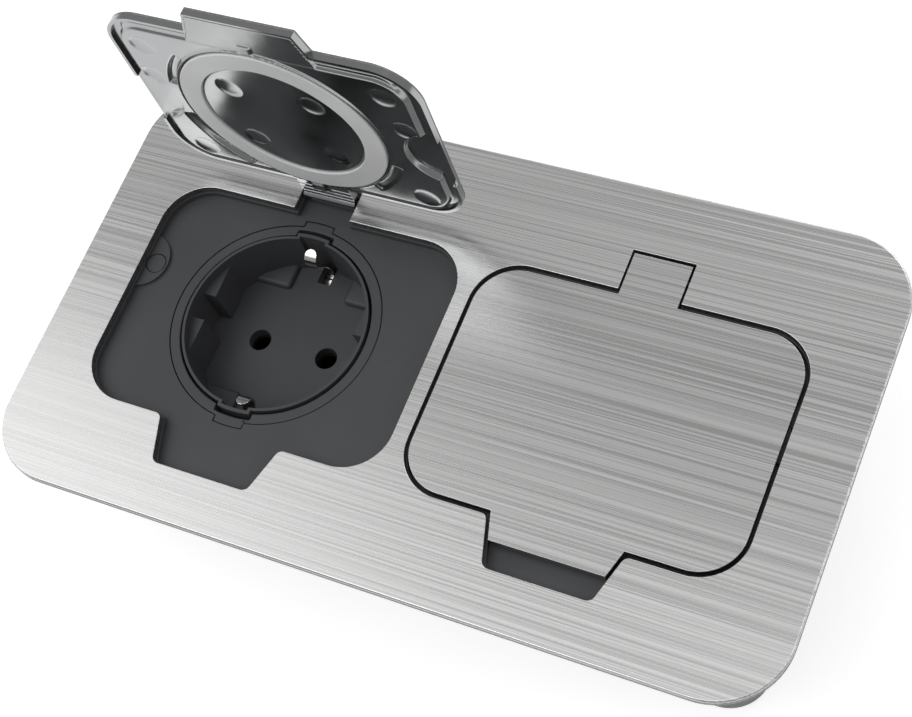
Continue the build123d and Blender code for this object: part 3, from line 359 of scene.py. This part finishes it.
def new_node(tree, kind, **inputs):
    """Node with its unlinked inputs set by name."""
    node = tree.nodes.new(kind)
    for name, value in inputs.items():
        node.inputs[name.replace("_", " ")].default_value = value
    return node


def pan_screw_tree():
    """Puts a pan head screw with a cross recess at each point, head down, its neck at the point."""
    tree = bpy.data.node_groups.new("pan_screw", "GeometryNodeTree")
    tree.interface.new_socket("Places", in_out="INPUT", socket_type="NodeSocketGeometry")
    tree.interface.new_socket("Shank Length", in_out="INPUT", socket_type="NodeSocketFloat")
    tree.interface.new_socket("Material", in_out="INPUT", socket_type="NodeSocketMaterial")
    tree.interface.new_socket("Screws", in_out="OUTPUT", socket_type="NodeSocketGeometry")
    given = tree.nodes.new("NodeGroupInput")
    head = new_node(tree, "GeometryNodeMeshCone", Vertices=SCREW_SIDES, Depth=SCREW_HEAD_HEIGHT,
                    Radius_Bottom=SCREW_HEAD_RADIUS * SCREW_TAPER, Radius_Top=SCREW_HEAD_RADIUS)
    low_head = new_node(tree, "GeometryNodeTransform", Translation=(0, 0, -SCREW_HEAD_HEIGHT))
    wire(tree, head.outputs["Mesh"], low_head.inputs["Geometry"])
    recess = tree.nodes.new("GeometryNodeMeshBoolean")
    recess.operation = "DIFFERENCE"
    wire(tree, low_head.outputs["Geometry"], recess.inputs["Mesh 1"])
    for length, width in ((RECESS_LENGTH, RECESS_WIDTH), (RECESS_WIDTH, RECESS_LENGTH)):
        bar = new_node(tree, "GeometryNodeMeshCube", Size=(length, width, 2 * RECESS_DEPTH))
        low_bar = new_node(tree, "GeometryNodeTransform", Translation=(0, 0, -SCREW_HEAD_HEIGHT))
        wire(tree, bar.outputs["Mesh"], low_bar.inputs["Geometry"])
        wire(tree, low_bar.outputs["Geometry"], recess.inputs["Mesh 2"])
    shank = new_node(tree, "GeometryNodeMeshCone", Vertices=SCREW_SIDES, Radius_Bottom=SCREW_SHANK_RADIUS,
                     Radius_Top=SCREW_SHANK_RADIUS * SCREW_TAPER)
    wire(tree, given.outputs["Shank Length"], shank.inputs["Depth"])
    whole = tree.nodes.new("GeometryNodeJoinGeometry")
    wire(tree, recess.outputs["Mesh"], whole.inputs["Geometry"])
    wire(tree, shank.outputs["Mesh"], whole.inputs["Geometry"])
    screws = tree.nodes.new("GeometryNodeInstanceOnPoints")
    wire(tree, given.outputs["Places"], screws.inputs["Points"])
    wire(tree, whole.outputs["Geometry"], screws.inputs["Instance"])
    solid = tree.nodes.new("GeometryNodeRealizeInstances")
    wire(tree, screws.outputs["Instances"], solid.inputs["Geometry"])
    finish = tree.nodes.new("GeometryNodeSetMaterial")
    wire(tree, solid.outputs["Geometry"], finish.inputs["Geometry"])
    wire(tree, given.outputs["Material"], finish.inputs["Material"])
    result = tree.nodes.new("NodeGroupOutput")
    wire(tree, finish.outputs["Geometry"], result.inputs["Screws"])
    return tree


PAN_SCREWS = pan_screw_tree()


def screw_places(node, kind):
    """The screws' necks: on one diagonal of the node's box, the terminal screws with one in the middle."""
    low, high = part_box(node)
    x0, x1 = low.x + SCREW_HEAD_RADIUS, high.x - SCREW_HEAD_RADIUS
    y0, y1 = low.y + SCREW_HEAD_RADIUS, high.y - SCREW_HEAD_RADIUS
    if kind == "base_screws":
        y0, y1 = y1, y0
    places = [(x0, y0), (x1, y1)]
    if kind == "terminal_screws":
        places.append(((x0 + x1) / 2, (y0 + y1) / 2))
    return [(x, y, low.z + SCREW_HEAD_HEIGHT) for x, y in places]


def pan_screws(node, kind):
    """One group of like screws as a plain mesh."""
    low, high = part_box(node)
    points = bpy.data.meshes.new(node + "_places")
    points.from_pydata(screw_places(node, kind), [], [])
    piece = link(node + "_finished", points)
    maker = piece.modifiers.new("screws", "NODES")
    maker.node_group = PAN_SCREWS
    values = {"Shank Length": high.z - low.z - SCREW_HEAD_HEIGHT, "Material": zinc}
    for socket in PAN_SCREWS.interface.items_tree:
        if socket.name in values:
            maker[socket.identifier] = values[socket.name]
    result = bpy.data.meshes.new_from_object(piece.evaluated_get(bpy.context.evaluated_depsgraph_get()))
    piece.modifiers.clear()
    piece.data = result
    bpy.data.meshes.remove(points)
    return piece


for node in ("line_link", "neutral_link", "earth_link"):
    dress(node, brass)
dress("plate_nuts", zinc)
dress("fixing_screws", zinc)
for side in ("left", "right"):
    take_place(rounded_copy(side + "_contact_base", radius=0.0003), side + "_contact_base", base_plastic)
    for pole in ("line", "neutral"):
        contact = side + "_" + pole + "_contact"
        take_place(rounded_copy(contact, radius=0.00012), contact, shade_black_brass)
    for kind in ("insert_screws", "terminal_screws", "base_screws"):
        take_place(pan_screws(side + "_" + kind, kind), side + "_" + kind, zinc)

# Socket carrier
# One anthracite moulding under the plate: a shallow tray under each lid, a pad with a capped screw
# at each outer end, and a pocket for each hinge.
anthracite = moulded_plastic("anthracite", (0.061, 0.063, 0.067), 0.5)
take_place(rounded_copy("socket_carrier", radius=0.0003), "socket_carrier", anthracite)
for side in ("left", "right"):
    take_place(rounded_copy(side + "_screw_cap", radius=0.0002), side + "_screw_cap", anthracite)
    dress(side + "_insert_seal", foam_black)

# Socket inserts and collar rings
# Each well is one anthracite moulding with keyways at its sides, round-edged pads on its bed and two
# pin holes. A ring with two locating tabs clamps it in the tray.
PAD_CHANNEL = 0.0154
PAD_FRONT = 0.0152
PAD_TOP = 0.0314
PAD_ROUND = 0.0011
NEAR = 0.00002


def soften_pads(piece, centre):
    """Rounds the corner and the upper edges of the four pads on a well's bed."""
    shape = bmesh.new()
    shape.from_mesh(piece.data)
    edges = []
    for edge in shape.edges:
        ends = [vert.co for vert in edge.verts]
        on_top = all(abs(end.z - PAD_TOP) < NEAR for end in ends)
        on_side = all(abs(abs(end.x - centre.x) - PAD_CHANNEL / 2) < NEAR for end in ends)
        on_front = all(abs(abs(end.y - centre.y) - PAD_FRONT) < NEAR for end in ends)
        low = max(end.z for end in ends) < PAD_TOP + NEAR
        if (on_top and (on_side or on_front)) or (low and on_side and on_front):
            edges.append(edge)
    bmesh.ops.bevel(shape, geom=edges, offset=PAD_ROUND, segments=4, profile=0.5, affect="EDGES")
    shape.to_mesh(piece.data)
    shape.free()
    return piece


for side in ("left", "right"):
    collar_ring = rounded_copy(side + "_collar_ring", radius=0.0003, segments=3)
    take_place(collar_ring, side + "_collar_ring", anthracite)
    ring_low, ring_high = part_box(side + "_collar_ring")
    insert = soften_pads(merged_copy(side + "_socket_insert"), (ring_low + ring_high) / 2)
    take_place(round_edges(insert, radius=0.0003, segments=3), side + "_socket_insert", anthracite)

# Earth straps
# One nickel-plated sprung strip under each well, bent up at both ends into the well, where it grips
# the plug's earth contacts as a bowed clip with a round tip, at front and back.
nickel, nickel_tree, nickel_shader = plain_material("nickel_plate", (0.66, 0.655, 0.64), 0.16, 1.0)
nickel_clouds = object_noise(nickel_tree, (300.0, 300.0, 300.0), 3.0)
wire(nickel_tree, spread(nickel_tree, nickel_clouds, 0.1, 0.24), nickel_shader.inputs["Roughness"])
CLIP_CUT = 0.0335
CLIP_HALF_WIDTH = 0.0017
CLIP_HALF_THICK = 0.0004
CLIP_STEPS = 28
CLIP_LAP = 0.0008
CLIP_TIP_SHARE = 0.25
CLIP_ROUTE = (
    (0.0226, CLIP_CUT - CLIP_LAP),
    (0.0226, 0.0366),
    (0.0178, 0.0391),
    (0.0181, 0.0418),
    (0.0222, 0.0426),
)


def bezier(points, share):
    """Point on the smooth curve that these points pull."""
    while len(points) > 1:
        points = [a.lerp(b, share) for a, b in zip(points, points[1:])]
    return points[0]


def clip_strip(name, centre, sign):
    """Sprung end of the strap: a strip bowed along the route, with a round tip, at one side of the well."""
    route = [Vector((0, sign * y, z)) for y, z in CLIP_ROUTE]
    places = [bezier(route, k / CLIP_STEPS) for k in range(CLIP_STEPS + 1)]
    length = sum((b - a).length for a, b in zip(places, places[1:]))
    shape = bmesh.new()
    rings = []
    gone = 0.0
    for k, place in enumerate(places):
        ahead = places[min(k + 1, CLIP_STEPS)] - places[max(k - 1, 0)]
        out = Vector((1, 0, 0)).cross(ahead).normalized() * CLIP_HALF_THICK
        gone += (place - places[max(k - 1, 0)]).length
        to_round = max(0.0, 1 - (length - gone) / CLIP_HALF_WIDTH)
        half = CLIP_HALF_WIDTH * max(CLIP_TIP_SHARE, math.sqrt(max(0.0, 1 - to_round * to_round)))
        base = Vector((centre.x, centre.y, 0)) + place
        corners = [(half, 1), (-half, 1), (-half, -1), (half, -1)]
        rings.append([shape.verts.new(base + Vector((x, 0, 0)) + out * turn) for x, turn in corners])
    for low_ring, high_ring in zip(rings, rings[1:]):
        for k in range(4):
            shape.faces.new((low_ring[k], low_ring[(k + 1) % 4], high_ring[(k + 1) % 4], high_ring[k]))
    shape.faces.new(rings[0])
    shape.faces.new(rings[-1])
    bmesh.ops.recalc_face_normals(shape, faces=shape.faces)
    mesh = bpy.data.meshes.new(name)
    shape.to_mesh(mesh)
    shape.free()
    return link(name, mesh)


def cut_at(piece, height):
    """Keeps the part of a piece below a height, closed there."""
    shape = bmesh.new()
    shape.from_mesh(piece.data)
    every = shape.verts[:] + shape.edges[:] + shape.faces[:]
    top, up = (0, 0, height), (0, 0, 1)
    cut = bmesh.ops.bisect_plane(shape, geom=every, plane_co=top, plane_no=up, clear_outer=True)
    open_edges = [item for item in cut["geom_cut"] if isinstance(item, bmesh.types.BMEdge)]
    bmesh.ops.holes_fill(shape, edges=open_edges, sides=0)
    shape.to_mesh(piece.data)
    shape.free()
    return piece


for side in ("left", "right"):
    strap = cut_at(merged_copy(side + "_earth_strap"), CLIP_CUT)
    take_place(round_edges(strap, radius=0.00015), side + "_earth_strap", nickel)
    ring_low, ring_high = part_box(side + "_collar_ring")
    for sign, place in ((-1, "front"), (1, "back")):
        clip = clip_strip(side + "_" + place + "_earth_clip", (ring_low + ring_high) / 2, sign)
        take_place(round_edges(clip, radius=0.0002, segments=3), side + "_earth_strap", nickel)


# Cover plate and its seal
# Pressed stainless steel, brushed along its length, with a chamfer round its edge and the dull walls
# that its cutting left, their colour darkened as painted shade. A grey rubber seal lies between it and
# the wall.
UV_SCALE = 10


def brush_direction(piece):
    """UV map whose U runs along the brushing, so that the shine spreads across it."""
    mesh = piece.data
    layer = mesh.uv_layers.new(name="brush")
    for loop in mesh.loops:
        x, y, z = mesh.vertices[loop.vertex_index].co
        layer.data[loop.index].uv = (x * UV_SCALE, (y + z) * UV_SCALE)


BRUSH_LINES = (5.0, 2000.0, 2000.0)
BRUSH_BANDS = (8.0, 3900.0, 3900.0)
LINES_SHARE = 0.55
BANDS_SHARE = 0.45
BRUSH_CONTRAST = 0.14
BRIGHTEST = 0.98
BRUSH_REACH = 0.13
BRUSH_RELIEF = 0.0000025


def brushed_steel(name, colour):
    """Satin stainless steel with fine long scratches along X."""
    material, tree, shader = plain_material(name, colour, 0.3, 1.0)
    shader.inputs["Anisotropic"].default_value = 0.75
    tangent = tree.nodes.new("ShaderNodeTangent")
    tangent.direction_type = "UV_MAP"
    tangent.uv_map = "brush"
    wire(tree, tangent.outputs["Tangent"], shader.inputs["Tangent"])
    lines = object_noise(tree, BRUSH_LINES, 0.0)
    bands = object_noise(tree, BRUSH_BANDS, 0.0)
    both = tree.nodes.new("ShaderNodeMath")
    both.operation = "MULTIPLY_ADD"
    both.inputs[1].default_value = LINES_SHARE
    wire(tree, lines, both.inputs[0])
    weaker = tree.nodes.new("ShaderNodeMath")
    weaker.operation = "MULTIPLY"
    weaker.inputs[1].default_value = BANDS_SHARE
    wire(tree, bands, weaker.inputs[0])
    wire(tree, weaker.outputs[0], both.inputs[2])
    dark = [channel * (1 - BRUSH_CONTRAST) for channel in colour]
    light = [min(channel * (1 + BRUSH_CONTRAST), BRIGHTEST) for channel in colour]
    wire(tree, tint(tree, both.outputs[0], dark, light, BRUSH_REACH), shader.inputs["Base Color"])
    wire(tree, spread(tree, both.outputs[0], 0.25, 0.36, BRUSH_REACH), shader.inputs["Roughness"])
    raise_bump(tree, shader, both.outputs[0], BRUSH_RELIEF)
    return material


# Steel of the sheet walls: duller than the face, as cut steel is, and much darker, as painted shade.
shaded_cut_edge, cut_tree, cut_shader = plain_material("shaded_cut_edge", (0.24, 0.24, 0.235), 0.5, 1.0)
cut_lines = object_noise(cut_tree, (2600.0, 2600.0, 180.0), 2.0)
cut_colour_with_shade = tint(cut_tree, cut_lines, (0.18, 0.18, 0.178), (0.31, 0.31, 0.305))
wire(cut_tree, cut_colour_with_shade, cut_shader.inputs["Base Color"])
WALL_TILT = 0.5


def show_cut_walls_with_shade(piece, along):
    """Gives a sheet's walls the dull finish of a cut edge, with a darker colour that is painted shade;
    along is the axis through its thickness.
    """
    piece.data.materials.append(shaded_cut_edge)
    for face in piece.data.polygons:
        if abs(face.normal[along]) < WALL_TILT:
            face.material_index = 1


plate_steel = brushed_steel("plate_steel", (0.80, 0.80, 0.795))
cover_plate = rounded_copy("cover_plate", radius=0.00015)
brush_direction(cover_plate)
take_place(cover_plate, "cover_plate", plate_steel)
show_cut_walls_with_shade(cover_plate, along=2)
seal_rubber = moulded_plastic("seal_rubber", (0.33, 0.34, 0.35), 0.7, 1800.0, 0.00002)
dress("plate_seal", seal_rubber)

# Hinge pins
# Blackened steel pins, clamped between the plate and the carrier, so they hardly show in the slots.
blackened_steel, pin_tree, pin_shader = plain_material("blackened_steel", (0.035, 0.035, 0.037), 0.45, 1.0)
pin_clouds = object_noise(pin_tree, (500.0, 500.0, 500.0), 3.0)
wire(pin_tree, spread(pin_tree, pin_clouds, 0.35, 0.55), pin_shader.inputs["Roughness"])
for side in ("left", "right"):
    dress(side + "_hinge_pin", blackened_steel)


# Lids
# Each lid is a brushed steel skin on a polished die casting, with a pale rubber gasket in a seat
# round a polished disc. The casting keeps the soft waves of its polish.
lid_steel = brushed_steel("lid_steel", (0.74, 0.74, 0.735))
casting, casting_tree, casting_shader = plain_material("polished_casting", (0.37, 0.375, 0.38), 0.2, 1.0)
casting_waves = object_noise(casting_tree, (70.0, 70.0, 70.0), 2.0)
wire(casting_tree, spread(casting_tree, casting_waves, 0.16, 0.26), casting_shader.inputs["Roughness"])
raise_bump(casting_tree, casting_shader, casting_waves, 0.0002)
gasket_rubber = moulded_plastic("gasket_rubber", (0.86, 0.865, 0.87), 0.5, 2200.0, 0.00001)

closed_low, closed_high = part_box("right_lid_skin")
pin_low, pin_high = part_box("right_hinge_pin")
HINGE_AXIS = (pin_low + pin_high) / 2
LID_TOP = closed_high.z
LID_HALF = (closed_high.x - closed_low.x) / 2
LID_CORNER = 0.01077
FINGER_TAB_REACH = 0.00673
HINGE_TAB_REACH = 0.01119
LID_FRONT = closed_low.y + FINGER_TAB_REACH
LID_BACK = closed_high.y - HINGE_TAB_REACH
FINGER_NOSE = 0.0139
FINGER_SLOPE = 0.3
RIM_WIDTH = 0.0009
WEB_DEPTH = 0.0011
WEB_SKIM = 0.00002
LID_CENTRE = {}
for side in ("left", "right"):
    skin_low, skin_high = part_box(side + "_lid_skin")
    LID_CENTRE[side] = (skin_low.x + skin_high.x) / 2


def lid_pose(side, x, y, depth):
    """Where a point of the closed lid, this deep under its face, is at rest. The left lid stands open."""
    place = Vector((LID_CENTRE[side] + x, y, LID_TOP - depth))
    if side == "left":
        back, down = place.y - HINGE_AXIS.y, place.z - HINGE_AXIS.z
        place.y = HINGE_AXIS.y + down
        place.z = HINGE_AXIS.z - back
    return place


def finger_half_width(y, inset):
    """Half width of the lid's finger tab at a place along Y."""
    return FINGER_NOSE + FINGER_SLOPE * (y - closed_low.y) - inset


def corner_arc(x, y, radius, start, steps=10):
    """Quarter circle of outline points about (x, y)."""
    turns = [math.radians(start + 90 * k / steps) for k in range(steps + 1)]
    return [(x + radius * math.cos(turn), y + radius * math.sin(turn)) for turn in turns]


def lid_inside(inset):
    """Outline of the space inside the lid's rim, with the finger tab's."""
    half, radius = LID_HALF - inset, LID_CORNER - inset
    x, back, front = half - radius, LID_BACK - inset, LID_FRONT + inset
    nose = closed_low.y + inset
    outline = corner_arc(-x, back - radius, radius, 90) + corner_arc(-x, front + radius, radius, 180)
    outline += [(-finger_half_width(front, inset), front), (-finger_half_width(nose, inset), nose)]
    outline += [(finger_half_width(nose, inset), nose), (finger_half_width(front, inset), front)]
    return outline + corner_arc(x, front + radius, radius, 270) + corner_arc(x, back - radius, radius, 0)


def lid_prism(side):
    """All that lies under the lid's web and inside its rim, as one block that reaches just into the web."""
    outline = lid_inside(RIM_WIDTH)
    count = len(outline)
    top = [lid_pose(side, x, y, WEB_DEPTH - WEB_SKIM) for x, y in outline]
    bottom = [lid_pose(side, x, y, 10 * WEB_DEPTH) for x, y in outline]
    walls = [(k, (k + 1) % count, (k + 1) % count + count, k + count) for k in range(count)]
    mesh = bpy.data.meshes.new("lid_prism")
    ends = [tuple(range(count)), tuple(range(2 * count - 1, count - 1, -1))]
    mesh.from_pydata(top + bottom, [], ends + walls)
    close_up(mesh)
    return link("lid_prism", mesh)


def close_up(mesh):
    """Turns the faces of a closed mesh outwards."""
    shape = bmesh.new()
    shape.from_mesh(mesh)
    bmesh.ops.recalc_face_normals(shape, faces=shape.faces)
    shape.to_mesh(mesh)
    shape.free()


def cut_away(piece, cutter):
    """Takes the cutter's space out of a piece."""
    cut = piece.modifiers.new("cut", "BOOLEAN")
    cut.operation = "DIFFERENCE"
    cut.solver = "EXACT"
    cut.object = cutter
    result = bpy.data.meshes.new_from_object(piece.evaluated_get(bpy.context.evaluated_depsgraph_get()))
    piece.modifiers.clear()
    piece.data = result
    bpy.data.objects.remove(cutter)
    return piece


# The relief of the casting's underside is one surface: a raised middle that runs out into the finger
# tab, a moat in three arcs and a lip round the gasket, a disc inside it, scallops and dished marks.
# Each arc of the moat has its start and end in degrees, its width and its depth.
gasket_low, gasket_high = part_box("right_lid_gasket")
GASKET_X = (gasket_low.x + gasket_high.x) / 2 - LID_CENTRE["right"]
GASKET_Y = (gasket_low.y + gasket_high.y) / 2
GASKET_RADIUS = (gasket_high.x - gasket_low.x) / 2
GASKET_WIDTH = 0.0056
GASKET_FACE = LID_TOP - gasket_low.z
RAISED = 0.00235
LEDGE = 0.0017
TONGUE = 0.00209
SEAT = 0.0015
EDGE = 0.0007
SIDE_GROOVE = 0.0034
END_GROOVE = 0.0019
MOAT_ARCS = ((20, 50, 0.0024, 0.0018), (126, 167, 0.0038, 0.0011), (193, 221, 0.0020, 0.0014))
RETAINER_HALF = 0.0017
RETAINER_REACH = 0.0034
LIP_WIDTH = 0.0008
DISC_SINK = 0.0005
DISH_RADIUS = 0.0032
DISH_SINK = 0.0005
SCALLOP_RADIUS = 0.0092
SCALLOP_Y = 0.0015
RELIEF_STEP = 0.00032
DISC_DISHES = [(GASKET_X + sx * 0.0109, GASKET_Y + sy * 0.0104) for sx in (-1, 1) for sy in (-1, 1)]
END_DISH_PLACES = ((0.0306, 0.0208), (0.033, -0.0088), (0.0312, -0.0212))
END_DISHES = [(sx * x, y) for sx in (-1, 1) for x, y in END_DISH_PLACES]
WEB_LAP = 0.00005
LEDGE_INSET = 0.0052
LEDGE_END_INSET = 0.0017
LEDGE_CORNER = 0.004
BACK_LEDGE = 0.0008
TONGUE_RUN = 0.004
TONGUE_RIM_SHARE = 0.9
TONGUE_SPREAD = 0.0006
LIP_GAP = 0.0002
LIP_SINK = 0.0002
RETAINER_SINK = 0.0003
SCALLOP_INSET = 0.0006
SEAT_PLAY = 0.00015
DISC_GAP = 0.0001
FINE_EDGE = 0.0004
DISC_EDGE = 0.0005
BORDER_SHARE = 0.6


def ramp(value, edge=EDGE):
    """Smooth step from 0 to 1 as a signed distance goes from minus to plus half the edge's width."""
    share = np.clip(value / edge + 0.5, 0, 1)
    return share * share * (3 - 2 * share)


def inside_rectangle(x, y, x_half, y_low, y_high, corner):
    """Distance into a rounded rectangle, negative outside it."""
    dx = np.abs(x) - (x_half - corner)
    dy = np.abs(y - (y_low + y_high) / 2) - ((y_high - y_low) / 2 - corner)
    outside = np.hypot(np.maximum(dx, 0), np.maximum(dy, 0))
    return corner - outside - np.minimum(np.maximum(dx, dy), 0)


def blend_to(depth, level, share):
    return depth + (level - depth) * share


def relief_depth(x, y):
    """Depth of the casting's underside below the lid's face at each place."""
    floor_depth = WEB_DEPTH - WEB_LAP
    depth = np.full_like(x, floor_depth)
    ledge_ends = (LID_FRONT + LEDGE_END_INSET, LID_BACK - LEDGE_END_INSET)
    ledge = inside_rectangle(x, y, LID_HALF - LEDGE_INSET, *ledge_ends, LEDGE_CORNER)
    depth = blend_to(depth, LEDGE, ramp(ledge))
    ends = (LID_FRONT + SIDE_GROOVE, LID_BACK - END_GROOVE - BACK_LEDGE)
    middle = inside_rectangle(x, y, LID_HALF - SIDE_GROOVE, *ends, LID_CORNER - SIDE_GROOVE)
    depth = blend_to(depth, RAISED, ramp(middle))
    tongue_end = ends[0] + TONGUE_RUN
    run_out = np.clip((y - closed_low.y) / (tongue_end - closed_low.y), 0, 1)
    tongue_side = finger_half_width(y, RIM_WIDTH * TONGUE_RIM_SHARE) + TONGUE_SPREAD - np.abs(x)
    tongue = np.minimum(tongue_side, tongue_end - y)
    depth = np.maximum(depth, blend_to(WEB_DEPTH, TONGUE + (RAISED - TONGUE) * run_out, ramp(tongue)))
    dx, dy = x - GASKET_X, y - GASKET_Y
    radius = np.hypot(dx, dy)
    turn = np.degrees(np.arctan2(dy, dx)) % 360
    lip = GASKET_RADIUS + LIP_GAP
    for start, end, width, sink in MOAT_ARCS:
        across = np.minimum(radius - lip - LIP_WIDTH, lip + LIP_WIDTH + width - radius)
        along = np.radians(np.minimum(turn - start, end - turn)) * radius
        depth = blend_to(depth, sink, ramp(np.minimum(across, along)))
    retainer = np.minimum(RETAINER_HALF - np.abs(dx), lip + RETAINER_REACH - radius)
    held = np.minimum(retainer, radius - lip)
    depth = blend_to(depth, GASKET_FACE - RETAINER_SINK, ramp(held, FINE_EDGE))
    for sign in (-1, 1):
        scallop = SCALLOP_RADIUS - np.hypot(x - sign * (LID_HALF - SCALLOP_INSET), y - SCALLOP_Y)
        depth = blend_to(depth, floor_depth, ramp(scallop))
    for px, py in END_DISHES:
        reach = np.hypot(x - px, y - py) / DISH_RADIUS
        depth -= DISH_SINK * np.sqrt(np.clip(1 - reach * reach, 0, 1))
    depth = blend_to(depth, GASKET_FACE - LIP_SINK, ramp(lip + LIP_WIDTH - radius, DISC_EDGE))
    depth = blend_to(depth, SEAT, ramp(lip + SEAT_PLAY - radius, FINE_EDGE))
    inner = GASKET_RADIUS - GASKET_WIDTH - DISC_GAP
    depth = blend_to(depth, GASKET_FACE - DISC_SINK, ramp(inner - radius, DISC_EDGE))
    for px, py in DISC_DISHES:
        reach = np.hypot(x - px, y - py) / DISH_RADIUS
        depth -= DISH_SINK * np.sqrt(np.clip(1 - reach * reach, 0, 1))
    return depth


def lid_relief(side):
    """The casting's raised underside, as a closed body that stands on the lid's web."""
    xs = np.arange(-LID_HALF, LID_HALF + RELIEF_STEP, RELIEF_STEP)
    ys = np.arange(closed_low.y, LID_BACK, RELIEF_STEP)
    x, y = np.meshgrid(xs, ys)
    depth = relief_depth(x, y)
    border = inside_rectangle(x, y, LID_HALF, LID_FRONT, LID_BACK, LID_CORNER) - BORDER_SHARE * RIM_WIDTH
    tab = np.minimum(finger_half_width(y, 0) - np.abs(x), y - closed_low.y) - BORDER_SHARE * RIM_WIDTH
    kept = (border > 0) | ((tab > 0) & (y < LID_FRONT + 2 * RIM_WIDTH))
    shape = bmesh.new()
    grid = {}
    for row, column in zip(*np.nonzero(kept)):
        place = lid_pose(side, float(x[row, column]), float(y[row, column]), float(depth[row, column]))
        grid[row, column] = shape.verts.new(place)
    for row, column in grid:
        corners = [grid.get((row + r, column + c)) for r, c in ((0, 0), (0, 1), (1, 1), (1, 0))]
        if all(corners):
            shape.faces.new(corners).smooth = True
    stray = [vert for vert in shape.verts if not vert.link_faces]
    bmesh.ops.delete(shape, geom=stray, context="VERTS")
    edge = [line for line in shape.edges if len(line.link_faces) == 1]
    raised = bmesh.ops.extrude_edge_only(shape, edges=edge)["geom"]
    root = lid_pose(side, 0, 0, WEB_DEPTH / 2) - lid_pose(side, 0, 0, 0)
    top = lid_pose(side, 0, 0, 0)
    across = root.normalized()
    for vert in (item for item in raised if isinstance(item, bmesh.types.BMVert)):
        vert.co += across * (root.length - (vert.co - top).dot(across))
    rest = [line for line in shape.edges if len(line.link_faces) == 1]
    bmesh.ops.holes_fill(shape, edges=rest, sides=0)
    bmesh.ops.recalc_face_normals(shape, faces=shape.faces)
    mesh = bpy.data.meshes.new(side + "_lid_relief")
    shape.to_mesh(mesh)
    shape.free()
    return link(side + "_lid_relief", mesh)


# The left lid stands open at rest, so that its thickness lies along Y, and the shut one's along Z.
THICKNESS_AXIS = {"left": 1, "right": 2}
for side in ("left", "right"):
    lid_skin = rounded_copy(side + "_lid_skin", radius=0.0001)
    brush_direction(lid_skin)
    take_place(lid_skin, side + "_lid_skin", lid_steel)
    show_cut_walls_with_shade(lid_skin, THICKNESS_AXIS[side])
    rim = cut_away(merged_copy(side + "_lid_frame"), lid_prism(side))
    take_place(round_edges(rim, radius=0.0002), side + "_lid_frame", casting)
    take_place(lid_relief(side), side + "_lid_frame", casting)
    lid_gasket = rounded_copy(side + "_lid_gasket", radius=0.0003, segments=3)
    take_place(lid_gasket, side + "_lid_gasket", gasket_rubber)
